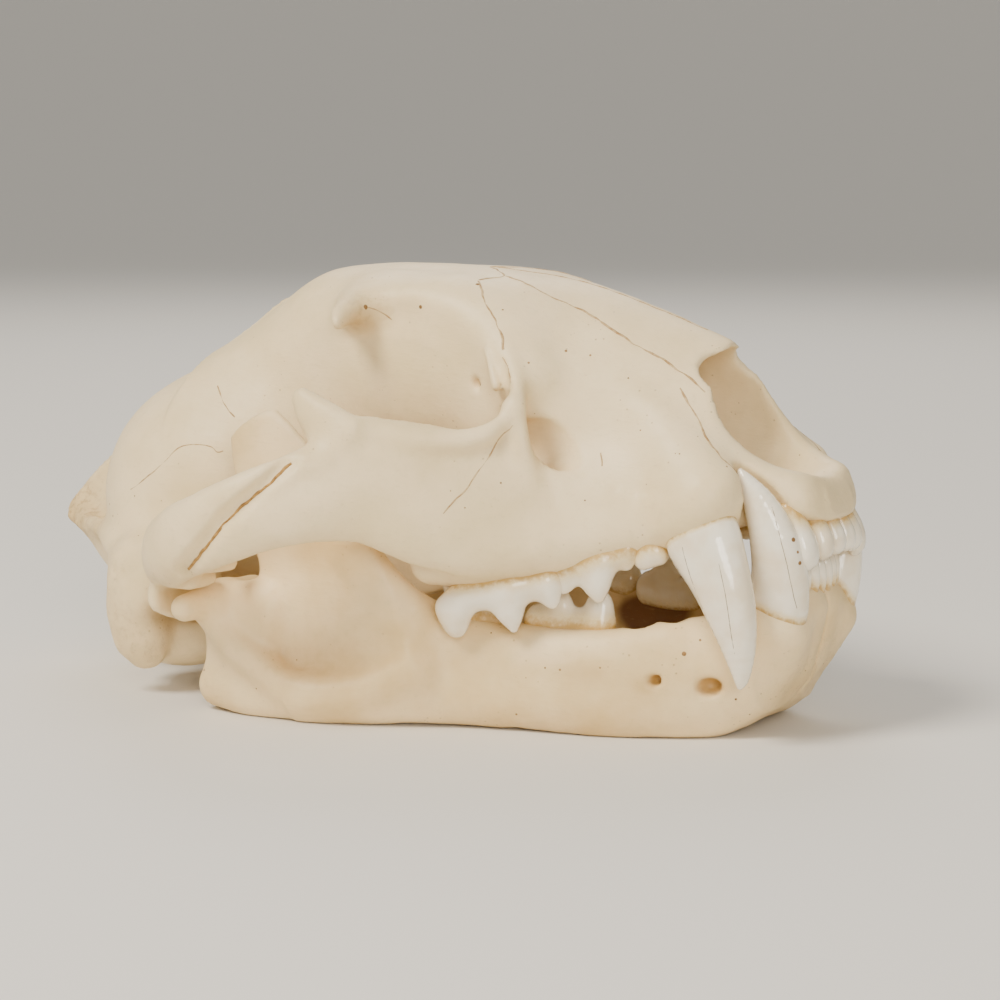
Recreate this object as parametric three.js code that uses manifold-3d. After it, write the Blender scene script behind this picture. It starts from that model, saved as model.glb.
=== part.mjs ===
// Skull of a large cat with its lower jaw, closed and resting on the lower jaw.
// Millimetres. +X is the nose, +Y is the animal's left, +Z is up, Z = 0 is the floor.
import * as THREE from "three";
import { mergeVertices } from "three/addons/utils/BufferGeometryUtils.js";
import Module from "manifold-3d";

// Driving dimensions.
const PITCH = 14; // degrees the upper skull is tipped nose-up when it lies on the jaw
const RAISE = 24; // height of the tooth-row plane over the turning point
const SHIFT_X = 17.3; // moves the origin to the middle of the length
const SUTURE_GAP = 0.25; // open seam between cheek bone and skull
const SOCKET_GAP = 0.3; // seam round each canine
const CANINE_CLEAR = 0.9; // room between a lower canine and the muzzle
const SYMPHYSIS_GAP = 0.15; // half of the seam between the two jaw halves
const GRID = 1.35; // cell of the sampling grid for bone
const TOOTH_GRID = 0.6; // cell of the sampling grid for teeth
const BUDGET = { skull: 6400, jaw: 1700, carnassial: 220, premolar: 150, peg: 50 };
const BONE = { color: 0xe9dfca, roughness: 0.55, metalness: 0 };
const BONE_CHEEK = { color: 0xe8ddc6, roughness: 0.55, metalness: 0 };
const BONE_JAW = { color: 0xebe0ca, roughness: 0.52, metalness: 0 };
const ENAMEL = { color: 0xf3ecdd, roughness: 0.28, metalness: 0 };

// Field pieces: each gives a signed distance, negative inside.
const EPS = 1e-9;

// Half sizes of an ellipsoid r seen from its centre offset a, b, c.
function round3(a, b, c, ra, rb, rc) {
  const k0 = Math.hypot(a / ra, b / rb, c / rc);
  const k1 = Math.hypot(a / (ra * ra), b / (rb * rb), c / (rc * rc));
  return k1 < EPS ? -Math.min(ra, rb, rc) : (k0 * (k0 - 1)) / k1;
}

// Ellipsoid: centre, half sizes, turns in degrees about X, Y, Z.
function ell(c, r, turn = [0, 0, 0]) {
  const e = turn.map(THREE.MathUtils.degToRad);
  const m = new THREE.Matrix4().makeRotationFromEuler(new THREE.Euler(...e, "ZYX"));
  const [a, b, d] = [0, 1, 2].map((i) => new THREE.Vector3().setFromMatrixColumn(m, i));
  const R = Math.max(...r);
  return {
    box: [c[0] - R, c[1] - R, c[2] - R, c[0] + R, c[1] + R, c[2] + R],
    at(x, y, z) {
      const p = x - c[0];
      const q = y - c[1];
      const s = z - c[2];
      return round3(
        p * a.x + q * a.y + s * a.z,
        p * b.x + q * b.y + s * b.z,
        p * d.x + q * d.y + s * d.z,
        ...r,
      );
    },
  };
}

// Points of a smooth run through rows of numbers, n steps to a span.
function smoothRows(rows, n) {
  const out = [];
  const row = (i) => {
    if (i < 0) return rows[0].map((v, j) => 2 * v - rows[1][j]);
    const last = rows.length - 1;
    if (i > last) return rows[last].map((v, j) => 2 * v - rows[last - 1][j]);
    return rows[i];
  };
  for (let i = 0; i < rows.length - 1; i++) {
    const [p0, p1, p2, p3] = [row(i - 1), row(i), row(i + 1), row(i + 2)];
    for (let s = 0; s < n; s++) {
      const t = s / n;
      out.push(
        p1.map((v, j) => {
          const v0 = (p2[j] - p0[j]) / 2;
          const v1 = (p3[j] - p1[j]) / 2;
          const d = p2[j] - v;
          return v + v0 * t + (3 * d - 2 * v0 - v1) * t * t + (v0 + v1 - 2 * d) * t * t * t;
        }),
      );
    }
  }
  out.push(rows[rows.length - 1].slice());
  return out;
}

// Bar along a smooth run of rows x, y, z, half size across, half size along "up".
function bar(rows, up = [0, 0, 1], n = 4) {
  const pts = smoothRows(rows, n);
  const U = new THREE.Vector3(...up);
  const seg = [];
  const box = [1e9, 1e9, 1e9, -1e9, -1e9, -1e9];
  for (const p of pts) {
    const R = Math.max(p[3], p[4]);
    for (let i = 0; i < 3; i++) {
      box[i] = Math.min(box[i], p[i] - R);
      box[i + 3] = Math.max(box[i + 3], p[i] + R);
    }
  }
  for (let i = 0; i < pts.length - 1; i++) {
    const p = new THREE.Vector3(...pts[i]);
    const q = new THREE.Vector3(...pts[i + 1]);
    const d = q.clone().sub(p);
    const len = d.length();
    d.normalize();
    const side = d.clone().cross(U).normalize();
    const top = side.clone().cross(d);
    seg.push({ p, d, len, side, top, a: pts[i], b: pts[i + 1] });
  }
  return {
    box,
    at(x, y, z) {
      let best = 1e9;
      for (const s of seg) {
        const px = x - s.p.x;
        const py = y - s.p.y;
        const pz = z - s.p.z;
        const h = px * s.d.x + py * s.d.y + pz * s.d.z;
        const t = Math.min(1, Math.max(0, h / s.len));
        const ra = Math.max(0.2, s.a[3] + (s.b[3] - s.a[3]) * t);
        const rb = Math.max(0.2, s.a[4] + (s.b[4] - s.a[4]) * t);
        const along = h - t * s.len;
        const sd = px * s.side.x + py * s.side.y + pz * s.side.z;
        const tp = px * s.top.x + py * s.top.y + pz * s.top.z;
        const v = round3(sd, tp, along, ra, rb, Math.min(ra, rb));
        if (v < best) best = v;
      }
      return best;
    },
  };
}

// Value of each column of a table of stations at x, smooth between stations.
function station(rows, x) {
  const n = rows.length;
  const k = Math.min(n - 2, Math.max(0, rows.findIndex((r, i) => i > 0 && x <= r[0]) - 1));
  const i = x > rows[n - 1][0] ? n - 2 : k;
  const t = Math.min(1, Math.max(0, (x - rows[i][0]) / (rows[i + 1][0] - rows[i][0])));
  const w = rows[i + 1][0] - rows[i][0];
  const slope = (q, j) => {
    const lo = rows[Math.max(0, q - 1)];
    const hi = rows[Math.min(n - 1, q + 1)];
    return (hi[j] - lo[j]) / (hi[0] - lo[0]);
  };
  return rows[i].map((v, j) => {
    const a = slope(i, j) * w;
    const b = slope(i + 1, j) * w;
    const d = rows[i + 1][j] - v;
    return v + a * t + (3 * d - 2 * a - b) * t * t + (a + b - 2 * d) * t * t * t;
  });
}

// Body along X from stations x, middle y, half width, top, bottom, widest height,
// roundness of the upper half and of the lower half.
function body(rows) {
  const cache = new Map();
  const get = (x) => {
    const key = Math.round(x * 1000);
    if (!cache.has(key)) cache.set(key, station(rows, x));
    return cache.get(key);
  };
  const x0 = rows[0][0];
  const x1 = rows[rows.length - 1][0];
  const W = Math.max(...rows.map((r) => r[1] + r[2]));
  return {
    box: [x0, -W, Math.min(...rows.map((r) => r[4])), x1, W, Math.max(...rows.map((r) => r[3]))],
    at(x, y, z) {
      const s = get(x);
      const upper = z > s[5];
      const h = upper ? s[3] - s[5] : s[5] - s[4];
      const p = upper ? s[6] : s[7];
      const g = Math.pow(Math.abs(y - s[1]) / s[2], p) + Math.pow(Math.abs(z - s[5]) / h, p);
      const d = (Math.pow(g, 1 / p) - 1) * Math.min(s[2], h);
      return Math.max(d, x0 - x, x - x1);
    },
  };
}

// Upright plate in the middle plane: stations x, top, bottom, half thickness.
function fin(rows) {
  const x0 = rows[0][0];
  const x1 = rows[rows.length - 1][0];
  const W = Math.max(...rows.map((r) => r[3]));
  const cache = new Map();
  return {
    box: [x0, -W, Math.min(...rows.map((r) => r[2])), x1, W, Math.max(...rows.map((r) => r[1]))],
    at(x, y, z) {
      const key = Math.round(x * 1000);
      if (!cache.has(key)) cache.set(key, station(rows, x));
      const s = cache.get(key);
      const d = Math.max(Math.abs(y) - s[3], z - s[1], s[2] - z);
      return Math.max(d, x0 - x, x - x1);
    },
  };
}

// Everything in front of a plane through p with normal n.
function beyond(p, n) {
  const u = new THREE.Vector3(...n).normalize();
  return {
    box: [-1e3, -1e3, -1e3, 1e3, 1e3, 1e3],
    at: (x, y, z) => -((x - p[0]) * u.x + (y - p[1]) * u.y + (z - p[2]) * u.z),
  };
}

// Sampling grid.
class Field {
  constructor(min, max, step, mirror) {
    this.h = step;
    this.mirror = mirror;
    this.lo = min.map((v, i) => (i === 1 && mirror ? -Math.ceil(max[1] / step) * step : v));
    this.n = min.map((v, i) => Math.ceil((max[i] - this.lo[i]) / step) + 1);
    if (mirror) this.n[1] = 2 * Math.ceil(max[1] / step) + 1;
    this.f = new Float32Array(this.n[0] * this.n[1] * this.n[2]).fill(40);
  }

  apply(kind, k, piece) {
    const { h, lo, n, f, mirror } = this;
    const pad = k + 3 * h;
    const a = [0, 1, 2].map((i) => Math.max(0, Math.floor((piece.box[i] - pad - lo[i]) / h)));
    const top = (i) => Math.ceil((piece.box[i + 3] + pad - lo[i]) / h);
    const b = [0, 1, 2].map((i) => Math.min(n[i] - 1, top(i)));
    if (mirror) a[1] = Math.max(a[1], (n[1] - 1) / 2);
    for (let z = a[2]; z <= b[2]; z++)
      for (let y = a[1]; y <= b[1]; y++)
        for (let x = a[0]; x <= b[0]; x++) {
          const i = x + n[0] * (y + n[1] * z);
          const d = piece.at(lo[0] + x * h, lo[1] + y * h, lo[2] + z * h);
          const s = kind === "add" ? 1 : -1;
          const p = s * f[i];
          const m = Math.max(k - Math.abs(p - d), 0) / Math.max(k, EPS);
          f[i] = s * (Math.min(p, d) - m * m * k * 0.25);
        }
  }

  run(ops) {
    for (const [kind, k, piece] of ops) this.apply(kind, k, piece);
    const { n, f } = this;
    if (this.mirror)
      for (let z = 0; z < n[2]; z++)
        for (let y = 0; y < (n[1] - 1) / 2; y++)
          for (let x = 0; x < n[0]; x++)
            f[x + n[0] * (y + n[1] * z)] = f[x + n[0] * (n[1] - 1 - y + n[1] * z)];
    return this;
  }

  // Closed surface where the field changes sign, found in the six tetrahedra of each cell.
  surface() {
    const { n, f, h, lo } = this;
    const [nx, ny, nz] = n;
    const step = [
      [1, 0, 0],
      [0, 1, 0],
      [1, 1, 0],
      [0, 0, 1],
      [1, 0, 1],
      [0, 1, 1],
      [1, 1, 1],
    ];
    const off = step.map((s) => s[0] + nx * (s[1] + ny * s[2]));
    const at = new Map();
    const pos = [];
    const tri = [];
    const where = (i) => {
      const x = i % nx;
      const y = Math.floor(i / nx) % ny;
      const z = Math.floor(i / (nx * ny));
      return [lo[0] + x * h, lo[1] + y * h, lo[2] + z * h];
    };
    const cross = (i, j) => {
      const a = Math.min(i, j);
      const b = Math.max(i, j);
      const key = a * 8 + off.indexOf(b - a);
      let v = at.get(key);
      if (v === undefined) {
        const t = Math.min(0.9, Math.max(0.1, f[a] / (f[a] - f[b])));
        const p = where(a);
        const q = where(b);
        v = pos.length / 3;
        pos.push(p[0] + (q[0] - p[0]) * t, p[1] + (q[1] - p[1]) * t, p[2] + (q[2] - p[2]) * t);
        at.set(key, v);
      }
      return v;
    };
    // a face is turned so that it looks from the inner corner to the outer corner
    const face = (a, b, c, inner, outer) => {
      const P = (v) => [pos[3 * v], pos[3 * v + 1], pos[3 * v + 2]];
      const [A, B, C] = [P(a), P(b), P(c)];
      const u = [B[0] - A[0], B[1] - A[1], B[2] - A[2]];
      const v = [C[0] - A[0], C[1] - A[1], C[2] - A[2]];
      const m = [u[1] * v[2] - u[2] * v[1], u[2] * v[0] - u[0] * v[2], u[0] * v[1] - u[1] * v[0]];
      const I = where(inner);
      const O = where(outer);
      const s = m[0] * (O[0] - I[0]) + m[1] * (O[1] - I[1]) + m[2] * (O[2] - I[2]);
      if (s > 0) tri.push(a, b, c);
      else tri.push(a, c, b);
    };
    // corners numbered by bits x, y, z; all six tetrahedra share the diagonal 0-7
    const tets = [
      [0, 1, 3, 7],
      [0, 1, 5, 7],
      [0, 2, 3, 7],
      [0, 2, 6, 7],
      [0, 4, 5, 7],
      [0, 4, 6, 7],
    ];
    for (let z = 0; z < nz - 1; z++)
      for (let y = 0; y < ny - 1; y++)
        for (let x = 0; x < nx - 1; x++) {
          const i = x + nx * (y + ny * z);
          const c = [i, ...off.map((o) => i + o)];
          let neg = 0;
          for (let q = 0; q < 8; q++) if (f[c[q]] < 0) neg++;
          if (neg === 0 || neg === 8) continue;
          for (const t of tets) {
            const ins = t.filter((q) => f[c[q]] < 0).map((q) => c[q]);
            const out = t.filter((q) => !(f[c[q]] < 0)).map((q) => c[q]);
            if (ins.length === 1)
              face(...out.map((q) => cross(ins[0], q)), ins[0], out[0]);
            else if (ins.length === 3)
              face(...ins.map((q) => cross(out[0], q)), ins[0], out[0]);
            else if (ins.length === 2) {
              const v = [
                cross(ins[0], out[0]),
                cross(ins[0], out[1]),
                cross(ins[1], out[1]),
                cross(ins[1], out[0]),
              ];
              face(v[0], v[1], v[2], ins[0], out[0]);
              face(v[0], v[2], v[3], ins[0], out[0]);
            }
          }
        }
    return largest({ pos: new Float64Array(pos), tri: new Int32Array(tri) });
  }
}

// Only the piece of a surface that holds the most.
function largest({ pos, tri }) {
  const up = new Int32Array(pos.length / 3).map((_, i) => i);
  const find = (i) => {
    while (up[i] !== i) {
      up[i] = up[up[i]];
      i = up[i];
    }
    return i;
  };
  for (let t = 0; t < tri.length; t += 3) {
    up[find(tri[t])] = find(tri[t + 1]);
    up[find(tri[t + 1])] = find(tri[t + 2]);
  }
  const vol = new Map();
  for (let t = 0; t < tri.length; t += 3) {
    const [a, b, c] = [3 * tri[t], 3 * tri[t + 1], 3 * tri[t + 2]];
    const v =
      pos[a] * (pos[b + 1] * pos[c + 2] - pos[b + 2] * pos[c + 1]) -
      pos[a + 1] * (pos[b] * pos[c + 2] - pos[b + 2] * pos[c]) +
      pos[a + 2] * (pos[b] * pos[c + 1] - pos[b + 1] * pos[c]);
    const r = find(tri[t]);
    vol.set(r, (vol.get(r) || 0) + v);
  }
  let best = -1;
  for (const [r, v] of vol) if (best < 0 || v > vol.get(best)) best = r;
  const keep = [];
  for (let t = 0; t < tri.length; t += 3)
    if (find(tri[t]) === best) keep.push(tri[t], tri[t + 1], tri[t + 2]);
  const at = new Map();
  const p = [];
  const out = keep.map((v) => {
    if (!at.has(v)) {
      at.set(v, p.length / 3);
      p.push(pos[3 * v], pos[3 * v + 1], pos[3 * v + 2]);
    }
    return at.get(v);
  });
  return { pos: new Float64Array(p), tri: new Int32Array(out) };
}

// Merges short, flat edges until only "target" triangles are left; the surface stays closed.
function thin({ pos, tri }, target) {
  const nv = pos.length / 3;
  const Q = new Float64Array(nv * 10);
  const faces = Array.from({ length: nv }, () => []);
  const alive = new Uint8Array(tri.length / 3).fill(1);
  const stamp = new Int32Array(nv);
  const gone = new Uint8Array(nv);
  const normal = (a, b, c) => {
    const ux = pos[3 * b] - pos[3 * a];
    const uy = pos[3 * b + 1] - pos[3 * a + 1];
    const uz = pos[3 * b + 2] - pos[3 * a + 2];
    const vx = pos[3 * c] - pos[3 * a];
    const vy = pos[3 * c + 1] - pos[3 * a + 1];
    const vz = pos[3 * c + 2] - pos[3 * a + 2];
    return [uy * vz - uz * vy, uz * vx - ux * vz, ux * vy - uy * vx];
  };
  for (let t = 0; t < tri.length / 3; t++) {
    const v = [tri[3 * t], tri[3 * t + 1], tri[3 * t + 2]];
    const m = normal(...v);
    const L = Math.hypot(...m) || EPS;
    const [a, b, c] = m.map((q) => q / L);
    const d = -(a * pos[3 * v[0]] + b * pos[3 * v[0] + 1] + c * pos[3 * v[0] + 2]);
    const q = [a * a, a * b, a * c, a * d, b * b, b * c, b * d, c * c, c * d, d * d];
    for (const i of v) {
      faces[i].push(t);
      for (let j = 0; j < 10; j++) Q[10 * i + j] += q[j] * L * 0.5;
    }
  }
  const cost = (q, x, y, z) =>
    q[0] * x * x + 2 * q[1] * x * y + 2 * q[2] * x * z + 2 * q[3] * x +
    q[4] * y * y + 2 * q[5] * y * z + 2 * q[6] * y + q[7] * z * z + 2 * q[8] * z + q[9];
  const place = (i, j) => {
    const q = new Float64Array(10);
    for (let s = 0; s < 10; s++) q[s] = Q[10 * i + s] + Q[10 * j + s];
    const mx = (pos[3 * i] + pos[3 * j]) / 2;
    const my = (pos[3 * i + 1] + pos[3 * j + 1]) / 2;
    const mz = (pos[3 * i + 2] + pos[3 * j + 2]) / 2;
    const len = 2 * Math.hypot(mx - pos[3 * i], my - pos[3 * i + 1], mz - pos[3 * i + 2]);
    // a little pull to the middle keeps flat places even
    const w = 1e-3 * (q[0] + q[4] + q[7]);
    const [a, b, c, e, g, k] = [q[0] + w, q[1], q[2], q[4] + w, q[5], q[7] + w];
    const r = [-q[3] + w * mx, -q[6] + w * my, -q[8] + w * mz];
    const det = a * (e * k - g * g) - b * (b * k - g * c) + c * (b * g - e * c);
    let p = [mx, my, mz];
    if (Math.abs(det) > 1e-12) {
      const x = (r[0] * (e * k - g * g) - b * (r[1] * k - g * r[2]) + c * (r[1] * g - e * r[2])) / det;
      const y = (a * (r[1] * k - r[2] * g) - r[0] * (b * k - g * c) + c * (b * r[2] - r[1] * c)) / det;
      const z = (a * (e * r[2] - g * r[1]) - b * (b * r[2] - r[1] * c) + r[0] * (b * g - e * c)) / det;
      if (Math.hypot(x - mx, y - my, z - mz) < 2 * len) p = [x, y, z];
    }
    return { p, c: Math.max(0, cost(q, ...p)) + 1e-5 * len * len };
  };
  // heap of candidate edges, cheapest first
  const heap = [];
  const push = (e) => {
    heap.push(e);
    let i = heap.length - 1;
    while (i > 0) {
      const u = (i - 1) >> 1;
      if (heap[u].c <= heap[i].c) break;
      [heap[u], heap[i]] = [heap[i], heap[u]];
      i = u;
    }
  };
  const pop = () => {
    const top = heap[0];
    const last = heap.pop();
    if (heap.length) {
      heap[0] = last;
      let i = 0;
      for (;;) {
        let s = i;
        const l = 2 * i + 1;
        if (l < heap.length && heap[l].c < heap[s].c) s = l;
        if (l + 1 < heap.length && heap[l + 1].c < heap[s].c) s = l + 1;
        if (s === i) break;
        [heap[s], heap[i]] = [heap[i], heap[s]];
        i = s;
      }
    }
    return top;
  };
  const offer = (i, j) => {
    const { p, c } = place(i, j);
    push({ i, j, p, c, si: stamp[i], sj: stamp[j] });
  };
  for (let t = 0; t < tri.length; t += 3)
    for (let s = 0; s < 3; s++) {
      const a = tri[t + s];
      const b = tri[t + ((s + 1) % 3)];
      if (a < b) offer(a, b);
    }
  let left = tri.length / 3;
  const around = (i) => {
    const s = new Set();
    for (const t of faces[i])
      for (let q = 0; q < 3; q++) if (tri[3 * t + q] !== i) s.add(tri[3 * t + q]);
    return s;
  };
  while (left > target && heap.length) {
    const e = pop();
    const { i, j, p } = e;
    if (gone[i] || gone[j] || stamp[i] !== e.si || stamp[j] !== e.sj) continue;
    const ni = around(i);
    const nj = around(j);
    let common = 0;
    for (const v of ni) if (nj.has(v)) common++;
    if (common !== 2 || !ni.has(j)) continue;
    // no face next to the edge may turn over
    let ok = true;
    for (const v of [i, j]) {
      for (const t of faces[v]) {
        const q = [tri[3 * t], tri[3 * t + 1], tri[3 * t + 2]];
        if (q.includes(i) && q.includes(j)) continue;
        const m0 = normal(...q);
        const keep = [pos[3 * v], pos[3 * v + 1], pos[3 * v + 2]];
        pos.set(p, 3 * v);
        const m1 = normal(...q);
        pos.set(keep, 3 * v);
        const L0 = Math.hypot(...m0);
        const L1 = Math.hypot(...m1);
        const dot = m0[0] * m1[0] + m0[1] * m1[1] + m0[2] * m1[2];
        if (L1 < 1e-4 || dot < 0.3 * L0 * L1) ok = false;
      }
      if (!ok) break;
    }
    if (!ok) continue;
    pos.set(p, 3 * i);
    for (let s = 0; s < 10; s++) Q[10 * i + s] += Q[10 * j + s];
    for (const t of faces[j]) {
      const q = [tri[3 * t], tri[3 * t + 1], tri[3 * t + 2]];
      if (q.includes(i)) {
        alive[t] = 0;
        left--;
        for (const v of q) if (v !== j) faces[v] = faces[v].filter((w) => w !== t);
      } else {
        for (let s = 0; s < 3; s++) if (tri[3 * t + s] === j) tri[3 * t + s] = i;
        faces[i].push(t);
      }
    }
    faces[j] = [];
    gone[j] = 1;
    stamp[i]++;
    for (const v of around(i)) offer(Math.min(i, v), Math.max(i, v));
  }
  const at = new Map();
  const op = [];
  const ot = [];
  for (let t = 0; t < tri.length / 3; t++)
    if (alive[t])
      for (let s = 0; s < 3; s++) {
        const v = tri[3 * t + s];
        if (!at.has(v)) {
          at.set(v, op.length / 3);
          op.push(pos[3 * v], pos[3 * v + 1], pos[3 * v + 2]);
        }
        ot.push(at.get(v));
      }
  return { pos: new Float64Array(op), tri: new Int32Array(ot) };
}

// Solids.
const kit = await Module();
kit.setup();
const { Manifold, Mesh } = kit;

function solid({ pos, tri }) {
  const vertProperties = new Float32Array(pos);
  const triVerts = new Uint32Array(tri);
  return new Manifold(new Mesh({ numProp: 3, vertProperties, triVerts }));
}

const fromField = (ops, min, max, step, target, mirror = false) =>
  solid(thin(new Field(min, max, step, mirror).run(ops).surface(), target));

// The largest closed body of a cut or joined solid.
function main(s) {
  const all = s.decompose();
  return all.reduce((a, b) => (b.volume() > a.volume() ? b : a));
}

// Horn-like solid through rings: rows x, y, z, half size across, half size along "up".
function horn(rows, up, around = 14, n = 3, grow = 0) {
  const pts = smoothRows(rows, n);
  const U = new THREE.Vector3(...up);
  const pos = [];
  const tri = [];
  pts.forEach((p, i) => {
    const a = new THREE.Vector3(...pts[Math.max(0, i - 1)]);
    const b = new THREE.Vector3(...pts[Math.min(pts.length - 1, i + 1)]);
    const d = b.sub(a).normalize();
    const side = d.clone().cross(U).normalize();
    const top = side.clone().cross(d);
    for (let s = 0; s < around; s++) {
      const g = (2 * Math.PI * s) / around;
      const ra = (Math.max(0.3, p[3]) + grow) * Math.cos(g);
      const rb = (Math.max(0.3, p[4]) + grow) * Math.sin(g);
      const v = new THREE.Vector3(...p).addScaledVector(side, ra).addScaledVector(top, rb);
      pos.push(v.x, v.y, v.z);
    }
  });
  for (let i = 0; i < pts.length - 1; i++)
    for (let s = 0; s < around; s++) {
      const a = i * around + s;
      const b = i * around + ((s + 1) % around);
      tri.push(a, b, b + around, a, b + around, a + around);
    }
  const cap = (i, turn) => {
    const c = pos.length / 3;
    const e = i === 0 ? [pts[0], pts[1]] : [pts[i], pts[i - 1]];
    const d = new THREE.Vector3(...e[0]).sub(new THREE.Vector3(...e[1])).normalize();
    const reach = 0.8 * Math.min(e[0][3], e[0][4]) + grow;
    pos.push(e[0][0] + d.x * reach, e[0][1] + d.y * reach, e[0][2] + d.z * reach);
    for (let s = 0; s < around; s++) {
      const a = i * around + s;
      const b = i * around + ((s + 1) % around);
      if (turn) tri.push(c, b, a);
      else tri.push(c, a, b);
    }
  };
  cap(0, true);
  cap(pts.length - 1, false);
  const made = solid({ pos, tri });
  if (made.volume() > 0) return made;
  for (let t = 0; t < tri.length; t += 3) [tri[t + 1], tri[t + 2]] = [tri[t + 2], tri[t + 1]];
  return solid({ pos, tri });
}

// Prism over a side outline of x, z points, from y0 to y1.
function prism(outline, y0, y1) {
  const shape = new THREE.Shape(outline.map(([x, z]) => new THREE.Vector2(x, z)));
  const g = new THREE.ExtrudeGeometry(shape, { depth: y1 - y0, bevelEnabled: false, steps: 1 });
  g.deleteAttribute("normal");
  g.deleteAttribute("uv");
  g.rotateX(Math.PI / 2);
  g.translate(0, y1, 0);
  const m = mergeVertices(g, 1e-4);
  return solid({ pos: m.attributes.position.array, tri: m.index.array });
}

// Upper skull, in its own level frame: z = 0 is the upper tooth row.
// x, middle y, half width, top, bottom, widest height, roundness above and below
const FACE = [
  [-46, 0, 25, 61, 14, 38, 2.2, 2],
  [-32, 0, 21.5, 66.5, 16, 44, 2.2, 2],
  [-18, 0, 20.5, 71.2, 17, 50, 2.3, 2],
  [-8, 0, 22, 70.6, 17, 54, 2.3, 2],
  [4, 0, 23, 68.2, 16, 53, 2.3, 2],
  [16, 0, 23, 65, 8, 49, 2.3, 2.2],
  [26, 0, 26, 61.8, 3, 38, 2.2, 3],
  [36, 0, 28, 58, 1.5, 27, 2.1, 3.4],
  [46, 0, 25.5, 53.2, 1.2, 18, 1.9, 3.4],
  [56, 0, 22.5, 47, 1.2, 12, 1.9, 3.4],
  [66, 0, 19.5, 40.4, 0.8, 10, 1.8, 3.2],
  [74, 0, 16.5, 34.5, 0, 8, 1.8, 3],
  [81, 0, 13.4, 26, -1, 5, 2, 2.6],
  [84.6, 0, 10.4, 16, -1.4, 3, 2, 2.4],
  [86, 0, 5.6, 8, -1, 2.5, 2, 2.4],
];
// x, top, bottom, half thickness of the crest along the middle
const CREST = [
  [-100.8, 35.8, 32, 1.4],
  [-94, 40.6, 22, 1.8],
  [-84, 44.9, 14, 2],
  [-69, 52.4, 20, 1.7],
  [-55, 58.8, 30, 1.6],
  [-42, 63.8, 40, 1.9],
  [-30, 67.9, 50, 2.6],
];
// wedge behind the braincase that carries the crests, ending at the hindmost point
const WEDGE = [
  [-100.2, 0, 2.5, 35.4, 30.5, 33, 1, 2],
  [-94, 0, 8, 40, 25, 31, 0.7, 2],
  [-86, 0, 14.5, 44.6, 14, 29, 0.62, 2],
  [-77, 0, 20, 48, 8, 26.5, 0.62, 2],
  [-70, 0, 26, 51, 6, 23.5, 0.75, 2],
];
const NUCHAL = [
  [-99.2, 0, 33.5, 2.6, 2],
  [-92, 7.4, 31.5, 2.4, 1.8],
  [-84, 15, 29.5, 2.4, 1.8],
  [-74, 23.8, 27, 2.6, 2],
  [-66, 31, 22.8, 2.9, 2.6],
  [-61.2, 34.6, 16.5, 3.6, 3.6],
  [-60.2, 36.8, 9.5, 3.8, 3.8],
];
const PAROCCIPITAL = [
  [-58.6, 34, 19, 6.6, 7],
  [-60.4, 36, 11, 6, 7.4],
  [-61.4, 36, 4, 5, 6.8],
  [-61.8, 35.2, -0.2, 3.2, 4.6],
];
const ARCH = [
  [50, 22, 12, 3, 8],
  [41, 27, 12.5, 3.4, 9.5],
  [33, 34, 15.8, 4, 13],
  [23, 41.5, 18.6, 4.4, 14],
  [13, 48.5, 24.5, 4.2, 12.5],
  [3, 56, 25, 4, 9.6],
  [-7, 61.5, 23.6, 3.9, 7.6],
  [-16, 64, 22.5, 3.9, 7.5],
  [-24, 63.6, 21.6, 3.9, 7.6],
  [-32, 60.2, 19.8, 4.1, 7.4],
  [-37, 54, 18.6, 4.8, 6.6],
  [-41, 46, 18.4, 6, 5.6],
  [-45, 37, 18.6, 7.5, 5.4],
  [-50, 28, 20, 9, 7],
];
const JUGAL_SPUR = [
  [8.5, 51.2, 34, 3.4, 6.4],
  [4.8, 52.2, 39.6, 2.9, 4.6],
  [2.2, 52.6, 44.2, 1.6, 2.3],
];
const FRONTAL_SPUR = [
  [1, 14, 62, 8, 4],
  [0.8, 22, 61, 5.4, 3.6],
  [1.4, 30, 59.6, 3, 2.8],
  [2.2, 34.6, 57.6, 1.1, 1.8],
];
// roof of the eye socket, from the brow down to its front corner
const BROW = [
  [0, 17, 60.6, 7.4, 3.6],
  [12, 17.4, 60.2, 6.8, 3.6],
  [20, 17.6, 57.4, 6.8, 4],
  [27, 18.2, 51.8, 7, 5.2],
  [32, 20, 45.2, 7, 6],
  [36, 22.4, 38.2, 6.4, 6],
];
const ORBIT_RIM = [
  [27, 22, 51.6, 1.6, 1.8],
  [32, 24.6, 45.6, 1.6, 2],
  [35.8, 28.2, 40, 1.7, 2],
  [37.6, 32.6, 33.6, 1.8, 2],
  [32.6, 38.6, 29.4, 1.8, 2],
  [23, 44.8, 30.8, 1.7, 2],
  [14, 49, 35.2, 1.6, 2],
];
const ALVEOLAR = [
  [64, 18, 5, 6, 5],
  [54, 21.5, 5.5, 4.5, 5],
  [44, 26, 5.5, 4.4, 5],
  [33, 31, 5.5, 4.8, 5.2],
  [22, 34.5, 6, 5, 5.4],
  [13, 35.5, 7.5, 4.6, 5],
];
const CANINE_ROOT = [
  [66.4, 21.5, 8.4, 7.2, 9.4],
  [63, 19.4, 13.5, 6.8, 8.6],
  [56.5, 17, 22, 5.6, 6.6],
  [49, 15, 28.5, 3.4, 4],
];
const PTERYGOID = [
  [14, 12.5, 9, 2.2, 7],
  [0, 12, 8.5, 1.7, 8.5],
  [-12, 12, 8, 1.6, 8.5],
  [-20, 12.6, 6, 1.6, 6.5],
  [-24, 13.2, 1.5, 1.5, 2.2],
];
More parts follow.
